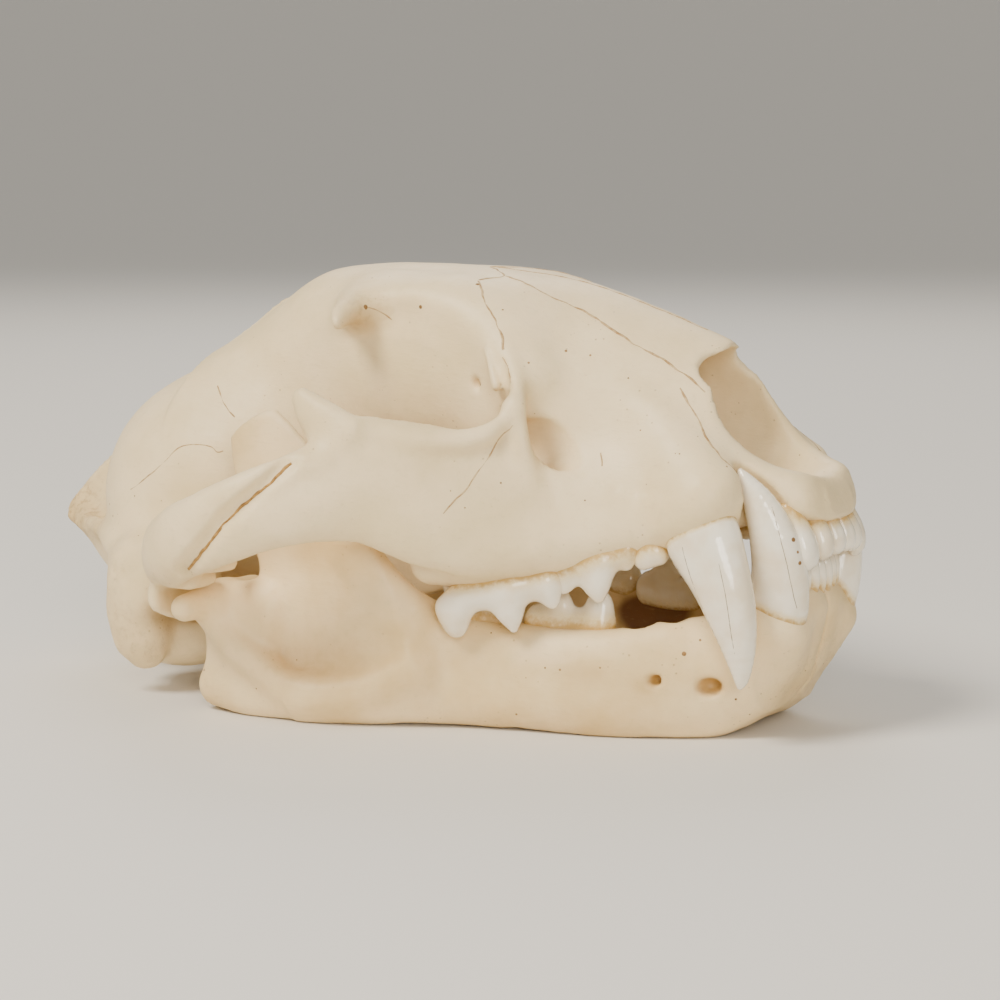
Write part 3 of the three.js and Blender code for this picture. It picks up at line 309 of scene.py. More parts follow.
def largest(verts, faces):
    """Only the connected piece with the most faces."""
    label = np.arange(len(verts))
    for _ in range(200):
        low = label[faces].min(axis=1)
        old = label.copy()
        for j in range(faces.shape[1]):
            np.minimum.at(label, faces[:, j], low)
        label = label[label]
        if (label == old).all():
            break
    names, counts = np.unique(label[faces[:, 0]], return_counts=True)
    keep = label[faces[:, 0]] == names[counts.argmax()]
    return pick(verts, faces, keep)


def pick(verts, faces, keep):
    used, index = np.unique(faces[keep], return_inverse=True)
    return verts[used], index.reshape(-1, faces.shape[1])


# %% [markdown]
# The tables say where each form sits. The upper skull is made level, with the row of
# its upper teeth at height zero, and is then tipped nose-up onto the jaw.

# %% Sizes of the skull
X = (1, 0, 0)  # for an upright bar, whose second half size is along the skull
PITCH = 14  # degrees the upper skull is tipped nose-up when it lies on the jaw
RAISE = 24  # height of the tooth-row plane over the turning point
SHIFT_X = 17.3  # moves the origin to the middle of the length
# Upper skull, in its own level frame: z = 0 is the upper tooth row.
# x, middle y, half width, top, bottom, widest height, roundness above and below
FACE = [
  [-46, 0, 25, 61, 14, 38, 2.2, 2],
  [-32, 0, 21.5, 66.5, 16, 44, 2.2, 2],
  [-18, 0, 20.5, 71.2, 17, 50, 2.3, 2],
  [-8, 0, 22, 70.6, 17, 54, 2.3, 2],
  [4, 0, 23, 68.2, 16, 53, 2.3, 2],
  [16, 0, 23, 65, 8, 49, 2.3, 2.2],
  [26, 0, 26, 61.8, 3, 38, 2.2, 3],
  [36, 0, 28, 58, 1.5, 27, 2.1, 3.4],
  [46, 0, 25.5, 53.2, 1.2, 18, 1.9, 3.4],
  [56, 0, 22.5, 47, 1.2, 12, 1.9, 3.4],
  [66, 0, 19.5, 40.4, 0.8, 10, 1.8, 3.2],
  [74, 0, 16.5, 34.5, 0, 8, 1.8, 3],
  [81, 0, 13.4, 26, -1, 5, 2, 2.6],
  [84.6, 0, 10.4, 16, -1.4, 3, 2, 2.4],
  [86, 0, 5.6, 8, -1, 2.5, 2, 2.4],
]
# x, top, bottom, half thickness of the crest along the middle
CREST = [
  [-100.8, 35.8, 32, 1.4],
  [-94, 40.6, 22, 1.8],
  [-84, 44.9, 14, 2],
  [-69, 52.4, 20, 1.7],
  [-55, 58.8, 30, 1.6],
  [-42, 63.8, 40, 1.9],
  [-30, 67.9, 50, 2.6],
]
# wedge behind the braincase that carries the crests, ending at the hindmost point
WEDGE = [
  [-100.2, 0, 2.5, 35.4, 30.5, 33, 1, 2],
  [-94, 0, 8, 40, 25, 31, 0.7, 2],
  [-86, 0, 14.5, 44.6, 14, 29, 0.62, 2],
  [-77, 0, 20, 48, 8, 26.5, 0.62, 2],
  [-70, 0, 26, 51, 6, 23.5, 0.75, 2],
]
NUCHAL = [
  [-99.2, 0, 33.5, 2.6, 2],
  [-92, 7.4, 31.5, 2.4, 1.8],
  [-84, 15, 29.5, 2.4, 1.8],
  [-74, 23.8, 27, 2.6, 2],
  [-66, 31, 22.8, 2.9, 2.6],
  [-61.2, 34.6, 16.5, 3.6, 3.6],
  [-60.2, 36.8, 9.5, 3.8, 3.8],
]
PAROCCIPITAL = [
  [-58.6, 34, 19, 6.6, 7],
  [-60.4, 36, 11, 6, 7.4],
  [-61.4, 36, 4, 5, 6.8],
  [-61.8, 35.2, -0.2, 3.2, 4.6],
]
ARCH = [
  [50, 22, 12, 3, 8],
  [41, 27, 12.5, 3.4, 9.5],
  [33, 34, 15.8, 4, 13],
  [23, 41.5, 18.6, 4.4, 14],
  [13, 48.5, 24.5, 4.2, 12.5],
  [3, 56, 25, 4, 9.6],
  [-7, 61.5, 23.6, 3.9, 7.6],
  [-16, 64, 22.5, 3.9, 7.5],
  [-24, 63.6, 21.6, 3.9, 7.6],
  [-32, 60.2, 19.8, 4.1, 7.4],
  [-37, 54, 18.6, 4.8, 6.6],
  [-41, 46, 18.4, 6, 5.6],
  [-45, 37, 18.6, 7.5, 5.4],
  [-50, 28, 20, 9, 7],
]
JUGAL_SPUR = [
  [8.5, 51.2, 34, 3.4, 6.4],
  [4.8, 52.2, 39.6, 2.9, 4.6],
  [2.2, 52.6, 44.2, 1.6, 2.3],
]
FRONTAL_SPUR = [
  [1, 14, 62, 8, 4],
  [0.8, 22, 61, 5.4, 3.6],
  [1.4, 30, 59.6, 3, 2.8],
  [2.2, 34.6, 57.6, 1.1, 1.8],
]
# roof of the eye socket, from the brow down to its front corner
BROW = [
  [0, 17, 60.6, 7.4, 3.6],
  [12, 17.4, 60.2, 6.8, 3.6],
  [20, 17.6, 57.4, 6.8, 4],
  [27, 18.2, 51.8, 7, 5.2],
  [32, 20, 45.2, 7, 6],
  [36, 22.4, 38.2, 6.4, 6],
]
ORBIT_RIM = [
  [27, 22, 51.6, 1.6, 1.8],
  [32, 24.6, 45.6, 1.6, 2],
  [35.8, 28.2, 40, 1.7, 2],
  [37.6, 32.6, 33.6, 1.8, 2],
  [32.6, 38.6, 29.4, 1.8, 2],
  [23, 44.8, 30.8, 1.7, 2],
  [14, 49, 35.2, 1.6, 2],
]
ALVEOLAR = [
  [64, 18, 5, 6, 5],
  [54, 21.5, 5.5, 4.5, 5],
  [44, 26, 5.5, 4.4, 5],
  [33, 31, 5.5, 4.8, 5.2],
  [22, 34.5, 6, 5, 5.4],
  [13, 35.5, 7.5, 4.6, 5],
]
CANINE_ROOT = [
  [66.4, 21.5, 8.4, 7.2, 9.4],
  [63, 19.4, 13.5, 6.8, 8.6],
  [56.5, 17, 22, 5.6, 6.6],
  [49, 15, 28.5, 3.4, 4],
]
PTERYGOID = [
  [14, 12.5, 9, 2.2, 7],
  [0, 12, 8.5, 1.7, 8.5],
  [-12, 12, 8, 1.6, 8.5],
  [-20, 12.6, 6, 1.6, 6.5],
  [-24, 13.2, 1.5, 1.5, 2.2],
]
SKULL_OPS = [
  ["add", 0, body(FACE)],
  ["add", 7, ell([-48.5, 0, 34], [33, 33.2, 24.6])],
  ["add", 8, ell([-61, 0, 24], [17, 31.5, 18])],
  ["add", 4, body(WEDGE)],
  ["add", 3, fin(CREST)],
  ["add", 4, bar(NUCHAL)],
  ["add", 6, bar([
    [-75, 0, 9.5, 12, 4.5],
    [-60, 0, 9.5, 12, 5],
    [-40, 0, 11.5, 10, 5.5],
    [-15, 0, 15, 8, 6],
  ])],
  ["add", 4, ell([-57.5, 22, 5], [14.8, 11, 10], [0, 0, -12])],
  ["add", 4, bar(PAROCCIPITAL, X)],
  ["add", 3, ell([-56, 38.5, 13], [6, 4.5, 6])],
  ["add", 2.5, ell([-77.5, 11, 12.5], [6, 5.6, 8], [20, 0, 20])],
  ["cut", 2, bar([[-98, 0, 17.5, 9, 8], [-80, 0, 17.5, 8, 7.4], [-66, 0, 20, 7, 7]])],
  ["cut", 8, ell([17, 48, 46], [29, 25.5, 17])],
  ["add", 9, ell([17, 13, 45], [19, 12, 14])],
  ["add", 5, bar(ALVEOLAR)],
  ["add", 5, bar(CANINE_ROOT, X)],
  ["add", 6, bar(ARCH)],
  ["add", 2, bar([
    [7, 55.4, 31, 1.6, 2],
    [-1, 61.2, 30.4, 2.2, 2.8],
    [-9, 64.6, 28.6, 2.8, 3.4],
    [-18, 65.4, 26, 3, 4],
    [-27, 63, 22, 3.2, 5],
    [-33, 58, 18, 3, 5],
  ])],
  ["cut", 4, bar([
    [-22, 70.4, 14.5, 3, 2.6],
    [-10, 71.6, 17.6, 3, 3],
    [4, 66.8, 18.6, 3, 3.6],
    [14, 58.5, 16.5, 3, 3.6],
  ])],
  ["add", 3, bar(JUGAL_SPUR, X)],
  ["add", 5, bar(FRONTAL_SPUR)],
  ["add", 4, bar(BROW)],
  ["add", 3, bar(ORBIT_RIM)],
  ["add", 3, bar([[-46, 29, 10, 2.8, 4.5], [-46, 40, 9.5, 2.6, 4], [-44, 50, 11.5, 2.4, 3.4]])],
  ["add", 3, bar([[-31.5, 49, 13.4, 2, 2.4], [-30, 57, 14.4, 2.4, 2.8]])],
  ["add", 3, bar([[-26, 48, 16.4, 1.8, 2.8], [-25, 56, 17, 2.2, 3]])],
  ["cut", 3, bar([[-37, 26, 11.4, 4.6, 4.6], [-37, 44, 9.6, 5.2, 4.8], [-37, 62, 8.4, 5.6, 4.8]])],
  ["add", 3, bar(PTERYGOID)],
  ["cut", 7, ell([53, 36.5, 28], [13, 13, 10])],
  ["cut", 4, ell([42, 0, -3], [38, 13.5, 7])],
  ["cut", 2.5, bar([[24, 0, 10, 8, 5], [10, 0, 10, 9, 6], [-4, 0, 9.5, 8.6, 6]])],
  ["add", 2.5, bar([
    [36, 32.6, 19.6, 1.5, 2.6],
    [36.6, 33.4, 26, 1.7, 2.8],
    [37.2, 33, 33.6, 1.7, 2.4],
  ], X)],
  ["cut", 0.7, bar([
    [47, 28, 23.6, 2.7, 4.2],
    [41, 27.4, 24.6, 3.4, 5.2],
    [35, 27.4, 25.6, 3.6, 5.2],
    [28, 28.6, 26.4, 3, 4.6],
  ])],
  ["cut", 1.5, bar([[-50, 28, 8, 2.6, 2.6], [-50.5, 35, 7, 2.8, 2.8], [-51, 42, 6.5, 3, 3]])],
  ["cut", 1.5, beyond([71.6, 0, 36.5], [0.9, 0, 0.42])],
  ["cut", 0.8, ell([74, 9, 33.5], [7.6, 4.8, 5.4])],
  ["cut", 2, bar([[90, -20, 28, 19.6, 19.6], [90, 20, 28, 19.6, 19.6]])],
  ["cut", 2, bar([
    [90, 0, 15, 9, 6.5],
    [78, 0, 17, 10.8, 9.4],
    [69, 0, 21.5, 12.4, 13.6],
    [58, 0, 25, 10.5, 12.5],
    [46, 0, 25, 7, 9],
  ])],
]
# teeth of one side, left; z = 0 is the gum line, crowns reach down, roots sit in the bone
UPPER_CANINE = [
  [62.5, 19, 12, 3.6, 5],
  [64.4, 20.6, 7, 4.9, 6.8],
  [66, 22.4, 1, 5.4, 7.6],
  [67.9, 23.2, -6, 4.8, 6.4],
  [69, 23.5, -13, 4.1, 5.2],
  [69, 23.3, -20, 3, 3.6],
  [67.9, 22.6, -26, 1.5, 1.8],
  [66.9, 22.2, -28.2, 0.6, 0.7],
]
P4 = [
  ["add", 0, bar([
    [15.4, 36.6, -2.8, 2.6, 3.4],
    [20, 35.8, -0.6, 3.2, 3.6],
    [27, 34.2, -0.4, 3.4, 3.8],
    [35, 30.8, -1, 2.9, 3.4],
  ])],
  ["add", 1.6, bar([
    [27, 34.2, -1, 3.1, 4.6],
    [27.3, 34.2, -5, 2.4, 3.2],
    [27.4, 34.2, -8.8, 0.7, 0.9],
  ], X)],
  ["add", 1.6, bar([
    [16.6, 36.6, -3, 2.5, 3.2],
    [16, 36.6, -5.6, 2, 2.8],
    [15.9, 36.5, -7.2, 1.1, 1.9],
  ], X)],
  ["add", 1.6, bar([
    [34.8, 30.8, -1, 2.6, 2.6],
    [35, 30.8, -4.2, 1.8, 2],
    [35.2, 30.9, -5.6, 0.9, 1.1],
  ], X)],
  ["add", 2, bar([[31.5, 27, 1, 2.6, 2.8], [31.8, 25.4, -1.8, 1.4, 1.6]], X)],
]
P3 = [
  ["add", 0, bar([
    [38, 28.2, 0.8, 2.8, 3.6],
    [44, 26.4, 1.4, 3.2, 3.8],
    [50.5, 24.2, 2.2, 2.6, 3],
  ])],
  ["add", 1.6, bar([
    [43.6, 26.6, 0, 3, 4.6],
    [43.4, 26.8, -3.2, 2.4, 3.2],
    [43.3, 26.9, -6.2, 1, 1.3],
  ], X)],
  ["add", 1.6, bar([[37.4, 28.6, -0.2, 2.6, 3], [36.9, 28.8, -2.4, 1.7, 2.3]], X)],
  ["add", 1.4, bar([[49.6, 24.6, 1, 2.2, 2.2], [49.8, 24.8, -1, 1.1, 1.2]], X)],
]
P2 = [
  ["add", 0, bar([[52.7, 23.4, -0.5, 1.9, 2.2], [56, 22.7, -0.2, 1.9, 2.2]])],
  ["add", 1.4, bar([[54.4, 22.8, 4, 2, 2.6], [54.3, 23, 1, 2.2, 2.8]], X)],
]
M1 = [["add", 0, bar([[13, 30, 3, 1.8, 2], [13, 29.6, -0.6, 2.6, 1.8]], X)]]
# upper incisors: middle y, half width, length of the crown
UPPER_INCISORS = [
  [2.4, 2.1, 6.2],
  [6.8, 2.3, 6.8],
  [11.4, 2.9, 9],
]
# cheek bone outline in side view: its seam with the temple bone, then with the upper jaw
SEAM_REAR = [
  [-6, 43],
  [-0.6, 38.4],
  [-1.2, 34],
  [-1.6, 30.4],
  [-9.4, 25.4],
  [-16.7, 21.4],
  [-23.3, 17.8],
  [-28.5, 14.2],
  [-36, 8],
]
SEAM_FRONT = [
  [8, 2],
  [14, 8.8],
  [21, 14.2],
  [29, 19.8],
  [34.4, 25.6],
  [38.6, 30.2],
  [46, 36],
]
# Lower jaw, left half, in the resting frame.
JAW = [
  [-20, 40.5, 4, 30, 2, 14, 2.4, 2.4],
  [-10, 38.5, 4.6, 34, 1.6, 14, 2.4, 2.4],
  [1, 34.4, 4.9, 27.5, 1.6, 13, 2.4, 2.4],
  [9, 29.6, 5.2, 23, 0.9, 12, 2.4, 2.4],
  [25, 26.6, 5.6, 21.2, -0.3, 11, 2.4, 2.3],
  [38, 23.6, 5.8, 21.4, -0.6, 11, 2.4, 2.3],
  [50, 18.4, 6.4, 23.4, -0.6, 11.5, 2.4, 2.3],
  [59, 12.8, 7.2, 24.6, 0.2, 12.5, 2.4, 2.3],
  [66, 9.4, 7.4, 25, 5.4, 15, 2.4, 2.2],
]
CHIN = [
  [69.6, 3.4, 25.4, 8, 5.6],
  [66.8, 3.4, 17, 8.2, 6.1],
  [59.6, 4.2, 9.8, 8.6, 6.6],
  [52.5, 6.5, 7, 8, 5],
]
ANGLE = [
  [16, 28.6, 6.5, 3, 4.5],
  [4, 33, 6, 3, 4],
  [-8, 37.6, 5.2, 3.4, 4],
  [-20, 41, 4.2, 3.6, 4],
  [-32, 42, 3.6, 3.6, 4],
  [-43.5, 41, 4.2, 3, 3.6],
]
FOSSA_RIDGE = [
  [-40.5, 46.4, 21.6, 2.6, 3],
  [-36.5, 46.2, 16.6, 2.4, 2.6],
  [-29, 45.8, 11, 2.4, 2.4],
  [-21.5, 44.6, 6.8, 2.4, 2.4],
  [-10, 41.8, 7.4, 2.2, 2.2],
  [3, 38, 11, 2, 2.2],
]
CORONOID = [
  [-12, 40, 10, 3.6, 16],
  [-17.5, 40.6, 27, 3, 15],
  [-24, 40.6, 42, 2.4, 11.6],
  [-30.6, 40, 52.5, 2, 9.4],
  [-34.4, 39.6, 58.8, 1.7, 6.6],
]
JAW_OPS = [
  ["add", 0, body(JAW)],
  ["add", 5, bar(CHIN, X)],
  ["add", 4, bar([
    [68.2, 12, 22.5, 6, 7.4],
    [64, 9.6, 15, 5.6, 7],
    [58, 8.4, 9.4, 5, 6],
  ], X)],
  ["add", 4, bar([[65, 1, 13.4, 6, 6], [58, 1.5, 7.8, 6.5, 5.6], [49, 3, 6, 6, 4.4]])],
  ["add", 5, bar(CORONOID, X)],
  ["add", 4, bar(ANGLE)],
  ["cut", 5, ell([-17, 50.5, 24], [25, 9, 16], [0, 8, 0])],
  ["add", 6, bar([
    [-36.5, 44, 22, 2.6, 6],
    [-37.5, 43, 14, 2.6, 7],
    [-37.5, 42, 7, 2.8, 7],
  ], X)],
  ["cut", 5, bar([
    [-35, 48.8, 22, 3.4, 3.4],
    [-29.5, 48.2, 16.6, 3.8, 3.6],
    [-21, 46.8, 12.2, 4, 3.6],
    [-10, 44.8, 12.6, 3.4, 3.4],
    [-2, 43.2, 17, 2.4, 3],
  ])],
  ["add", 4, bar([[-11, 40.6, 35, 1.6, 2.4], [-5, 39.4, 29, 1.8, 2.4], [2, 36.6, 23, 2, 2.2]])],
  ["add", 6, bar(FOSSA_RIDGE)],
  ["add", 4, bar([[-39, 42, 21.6, 3.6, 5], [-30, 41.5, 20, 3.2, 7]])],
  ["add", 3, bar([
    [-40.5, 32, 23.6, 3.4, 3.4],
    [-41, 44, 23.4, 3.9, 3.7],
    [-41, 55, 23.2, 2.9, 2.9],
  ])],
  ["cut", 0.8, ell([58.2, 19.8, 10.9], [2.2, 3, 1.7])],
  ["cut", 0.8, ell([48.9, 26, 12.1], [1.1, 4, 1.1])],
  ["cut", 1, ell([43.4, 20.6, 23], [2.6, 1.9, 3])],
  ["cut", 1, ell([49.6, 18, 24.6], [2.4, 1.7, 3])],
]
LOWER_CANINE = [
  [60.5, 11, 11, 3.2, 4],
  [65.5, 11.6, 18, 4.4, 5.8],
  [68.7, 12, 25, 4.8, 6.2],
  [69.9, 13.2, 33, 4.5, 5.7],
  [69.2, 14.6, 40, 3.9, 4.9],
  [66.9, 15.8, 46.5, 2.8, 3.4],
  [64.2, 16.7, 51, 1.5, 1.8],
  [63, 17, 53.2, 0.5, 0.6],
]
LP4 = [
  ["add", 0, bar([
    [22.6, 24.2, 21.2, 2.8, 3.8],
    [29, 23, 20.8, 3.1, 3.8],
    [35.4, 21.7, 21.2, 2.8, 3.8],
  ])],
  ["add", 1.4, bar([
    [26, 23.8, 22, 2.7, 4],
    [27.2, 23.4, 25.2, 2, 3],
    [27.8, 23.2, 27, 1, 1.6],
  ], X)],
  ["add", 1.4, bar([
    [35, 21.9, 22, 2.8, 3.4],
    [35.2, 21.8, 25.4, 2.2, 2.9],
    [35, 21.8, 27.6, 1.2, 1.9],
  ], X)],
]
LM1 = [
  ["add", 0, bar([[5.5, 29, 23, 2.5, 4], [11, 28, 22, 2.8, 4.2], [17, 26.2, 21.6, 2.6, 4]])],
  ["add", 1.6, bar([[15.6, 26.4, 22, 2.3, 3.8], [16, 25.4, 27, 0.9, 1.8]], X)],
  ["add", 1.6, bar([[8.4, 28.2, 22, 2.5, 4.2], [8, 27.4, 26.8, 0.9, 2]], X)],
]
LOWER_INCISORS = [
  [1.5, 1.25, 5],
  [4.1, 1.4, 5.4],
  [6.9, 1.6, 5.8],
]

# %% Place the level skull on the jaw
TIP = math.radians(PITCH)


def settle(v):
    x, z = v[:, 0], v[:, 2] + RAISE
    ahead = x * math.cos(TIP) - z * math.sin(TIP)
    high = x * math.sin(TIP) + z * math.cos(TIP)
    return np.stack([ahead, v[:, 1], high], axis=1) + [SHIFT_X, 0, 0]


def rest(v):
    return v + [SHIFT_X, 0, 0]


def level(rows):
    """Rows given in the resting frame, turned back into the frame of the level skull."""
    r = np.array(rows, float)
    x, z = r[:, 0].copy(), r[:, 2].copy()
    r[:, 0] = x * math.cos(TIP) + z * math.sin(TIP)
    r[:, 2] = -x * math.sin(TIP) + z * math.cos(TIP) - RAISE
    return r.tolist()


# %% [markdown]
# One function turns points and faces into a Blender object. Its normals come from the
# field itself, so the shading is as smooth as the form, whatever the mesh.

# %% Build an object
MM = 0.001
LO, HI = np.array(CAD_LO) + 1e-5, np.array(CAD_HI) - 1e-5


def make(name, verts, faces, field, place, material, marks=None):
    """Object from points in field space; place brings them into the frame."""
    mesh = bpy.data.meshes.new(name)
    v = np.clip(place(verts) * MM, LO, HI)
    mesh.from_pydata(v.tolist(), [], faces.tolist())
    mesh.materials.append(material)
    mesh.shade_smooth()
    for key, values in (marks or {}).items():
        a = mesh.attributes.new(key, "FLOAT", "POINT")
        a.data.foreach_set("value", np.asarray(values, np.float32))
    n = field.slope(verts)
    n = place(n) - place(np.zeros((1, 3)))
    mesh.normals_split_custom_set_from_vertices(n.tolist())
    o = bpy.data.objects.new(name, mesh)
    bpy.context.collection.objects.link(o)
    print(f"{name}: {sum(len(p.vertices) - 2 for p in mesh.polygons)} triangles")
    return o


def thin(verts, faces, field, triangles):
    """Fewer faces where the surface is flat, then each point back onto the field."""
    now = 2 * len(faces)
    if now <= triangles:
        return verts, faces
    mesh = bpy.data.meshes.new("thin")
    mesh.from_pydata(verts.tolist(), [], faces.tolist())
    o = bpy.data.objects.new("thin", mesh)
    bpy.context.collection.objects.link(o)
    m = o.modifiers.new("thin", "DECIMATE")
    m.ratio = triangles / now
    m.use_collapse_triangulate = True
    done = bpy.data.meshes.new_from_object(o.evaluated_get(bpy.context.evaluated_depsgraph_get()))
    v = np.empty(len(done.vertices) * 3)
    done.vertices.foreach_get("co", v)
    v = v.reshape(-1, 3)
    f = np.array([tuple(p.vertices) for p in done.polygons])
    bpy.data.objects.remove(o)
    bpy.data.meshes.remove(done)
    bpy.data.meshes.remove(mesh)
    for _ in range(2):
        v = v - field.slope(v) * np.clip(field.sample(field.f, v), -0.3, 0.3)[:, None]
    return v, f


# %% [markdown]
# Colours are written as they look on screen. Blender wants them linear, so one
# function converts them.

# %% Colour and node helpers
def rgb(text):
    c = [int(text[i : i + 2], 16) / 255 for i in (1, 3, 5)]
    return [v / 12.92 if v <= 0.04045 else ((v + 0.055) / 1.055) ** 2.4 for v in c] + [1]


def add(tree, kind, links=None, **values):
    """Adds one node; links are sockets or values for its inputs."""
    node = tree.nodes.new(kind if "Node" in kind else "ShaderNode" + kind)
    for key, value in values.items():
        setattr(node, key, value)
    for key, value in (links or {}).items():
        socket = node.inputs[key]
        if isinstance(value, bpy.types.NodeSocket):
            tree.links.new(value, socket)
        else:
            socket.default_value = value
    return node


def patterns(tree, where, table):
    """Noise patterns by name; each row gives patch size in millimetres, detail, roughness."""
    made = {}
    for key, (size, detail, rough) in table.items():
        links = {"Vector": where, "Scale": 1000 / size, "Detail": detail, "Roughness": rough}
        made[key] = add(tree, "TexNoise", links).outputs[0]
    return made


def smooth(tree, value, a, b, c=0.0, d=1.0):
    """Maps a..b to c..d along a soft S."""
    links = {0: value, 1: a, 2: b, 3: c, 4: d}
    return add(tree, "MapRange", links, interpolation_type="SMOOTHSTEP").outputs[0]


def tinted(tree, colour, layers):
    """Lays tints over a colour; each layer gives its share, 0 to 1, and its tint."""
    for share, tint in layers:
        colour = add(tree, "Mix", {0: share, 6: colour, 7: rgb(tint)}, data_type="RGBA").outputs[2]
    return colour


def total(tree, start, terms):
    """A start value plus a weighted sum of values."""
    for value, weight in terms:
        links = {0: value, 1: weight, 2: start}
        start = add(tree, "Math", links, operation="MULTIPLY_ADD").outputs[0]
    return start


def product(tree, a, b):
    return add(tree, "Math", {0: a, 1: b}, operation="MULTIPLY").outputs[0]


def finish_shader(tree, shader, sockets, settings):
    """Joins computed values to the shader and sets its other inputs."""
    for key, value in sockets.items():
        tree.links.new(value, shader.inputs[key])
    for key, value in settings.items():
        shader.inputs[key].default_value = value


def material(name):
    m = bpy.data.materials.new(name)
    m.use_nodes = True
    t = m.node_tree
    return m, t, t.nodes["Principled BSDF"], add(t, "TexCoord").outputs["Object"]


# %% [markdown]
# Whitened bone is a warm ivory. Hollows and creases are painted darker and yellower,
# partly a yellow stain and partly painted shade, and the insides of holes, of the nose
# and of the mouth are painted dark brown as painted shade. It is rough and tan where the
# outer layer is thin, as along the rear crest. Its surface is finely pitted. The marks
# "hollow", "deep", "stain_and_shade" and "spongy" come with each mesh.

# %% Bone
BONE_MARKS = ["hollow", "deep", "stain_and_shade", "spongy"]
BONE_PATTERNS = {
    "cloud": (22, 4, 0.55),
    "fine": (2.2, 4, 0.6),
    "grain": (0.5, 3, 0.6),
    "patch": (9, 2, 0.5),
    "sponge": (1.7, 5, 0.72),
}
PORE_SPACING = 1.6  # mm


def bone(name, light, deep):
    m, t, shader, where = material(name)
    v = {key: add(t, "Attribute", attribute_name=key).outputs["Fac"] for key in BONE_MARKS}
    v |= patterns(t, where, BONE_PATTERNS)
    along = add(t, "Mapping", {"Vector": where, "Scale": (0.22, 1.0, 1.0)}).outputs[0]
    v |= patterns(t, along, {"fibre": (0.7, 3, 0.6)})
    links = {"Vector": where, "Scale": 1000 / PORE_SPACING, "Randomness": 1.0}
    pore = add(t, "TexVoronoi", links).outputs["Distance"]
    holes = product(t, smooth(t, pore, 0.16, 0.06), smooth(t, v["patch"], 0.52, 0.66))
    pitted = product(t, smooth(t, v["sponge"], 0.5, 0.36), v["spongy"])
    colour = tinted(t, rgb(light), [
        (smooth(t, v["cloud"], 0.35, 0.7), deep),
        (smooth(t, v["fine"], 0.5, 0.8, 0.0, 0.25), "#dcc898"),
        # painted shade with a yellow tint in wide hollows, from the mark "deep"
        (smooth(t, v["deep"], 0.56, 0.85, 0.0, 0.45), "#d2b06c"),
        # painted shade in small hollows and creases, in a yellow brown, from the mark "hollow"
        (smooth(t, v["hollow"], 0.53, 0.78, 0.0, 0.8), "#b98f4c"),
        # tint from the blots: real stains and painted shade alike
        (product(t, v["stain_and_shade"], total(t, 0.6, [(v["fine"], 0.8)])), "#b08a48"),
        # painted shade: the strongest blots, inside holes, the nose and the mouth, turn dark brown
        (smooth(t, v["stain_and_shade"], 0.6, 1.0, 0.0, 0.92), "#70482a"),
        (product(t, holes, 0.45), "#8a6437"),
        (product(t, v["spongy"], 0.85), "#cfae72"),
        (product(t, pitted, 0.4), "#9a7440"),
        (smooth(t, v["fibre"], 0.56, 0.8, 0.0, 0.2), "#c9ad78"),
    ])
    raised = [(v["fine"], 0.5), (v["grain"], 0.22), (v["fibre"], 0.45)]
    height = total(t, 0.0, raised + [(holes, -0.8), (pitted, -2.0)])
    bump = add(t, "Bump", {"Strength": 0.55, "Distance": 0.00022, "Height": height})
    sockets = {
        "Base Color": colour,
        "Roughness": total(t, 0.36, [(v["fine"], 0.22), (v["spongy"], 0.25)]),
        "Normal": bump.outputs[0],
    }
    finish_shader(t, shader, sockets, {
        "Subsurface Weight": 0.06,
        "Subsurface Radius": (1.0, 0.6, 0.35),
        "Subsurface Scale": 0.002,
        "Specular IOR Level": 0.45,
    })
    return m


BONE = bone("bone", "#f8e2b6", "#ebd4a3")
BONE_JAW = bone("jaw_bone", "#f8dfb0", "#e4c68c")
print("bone materials", BONE.name, BONE_JAW.name)

# %% [markdown]
# Enamel is whiter and glossy, with faint cloudy bands along the tooth, and it is
# stained yellow to orange where the gum ended. The mark "gum" falls off away from the
# bone.

# %% Enamel
def enamel(name, light, deep):
    m, t, shader, where = material(name)
    gum = add(t, "Attribute", attribute_name="gum").outputs["Fac"]
    v = patterns(t, where, {"cloud": (7, 3, 0.5), "fine": (1.1, 3, 0.6)})
    edge = product(t, gum, total(t, 0.45, [(v["fine"], 1.0)]))
    colour = tinted(t, rgb(light), [
        (smooth(t, v["cloud"], 0.35, 0.7), deep),
        (smooth(t, edge, 0.05, 0.6, 0.0, 0.75), "#e8d096"),
        (smooth(t, edge, 0.45, 0.95, 0.0, 0.9), "#c39a48"),
    ])
    height = total(t, v["cloud"], [(v["fine"], 1.0)])
    bump = add(t, "Bump", {"Strength": 0.18, "Distance": 0.00012, "Height": height})
    sockets = {
        "Base Color": colour,
        "Roughness": total(t, 0.1, [(v["fine"], 0.16), (gum, 0.2)]),
        "Normal": bump.outputs[0],
    }
    finish_shader(t, shader, sockets, {
        "Subsurface Weight": 0.1,
        "Subsurface Radius": (1.0, 0.85, 0.7),
        "Subsurface Scale": 0.0015,
        "Coat Weight": 0.6,
        "Coat Roughness": 0.07,
    })
    return m


ENAMEL = enamel("tooth_enamel", "#fbf2de", "#efe0c2")
print("enamel material", ENAMEL.name)

# %% [markdown]
# Seams, pits and old cracks hold a little dried fat and dust, from yellow to brown. The
# brown line in the open cheek seam is also painted shadow of the step along that seam.
# One matt finish serves them all, in a few tints.

# %% Dirt in seams and pits
def dirt(name, light, deep):
    m, t, shader, where = material(name)
    cloud = patterns(t, where, {"cloud": (1.3, 3, 0.6)})["cloud"]
    colour = tinted(t, rgb(light), [(smooth(t, cloud, 0.3, 0.7), deep)])
    finish_shader(t, shader, {"Base Color": colour}, {"Roughness": 0.8})
    return m


SEAM_DIRT = dirt("seam_dirt", "#cfb487", "#a37d4a")
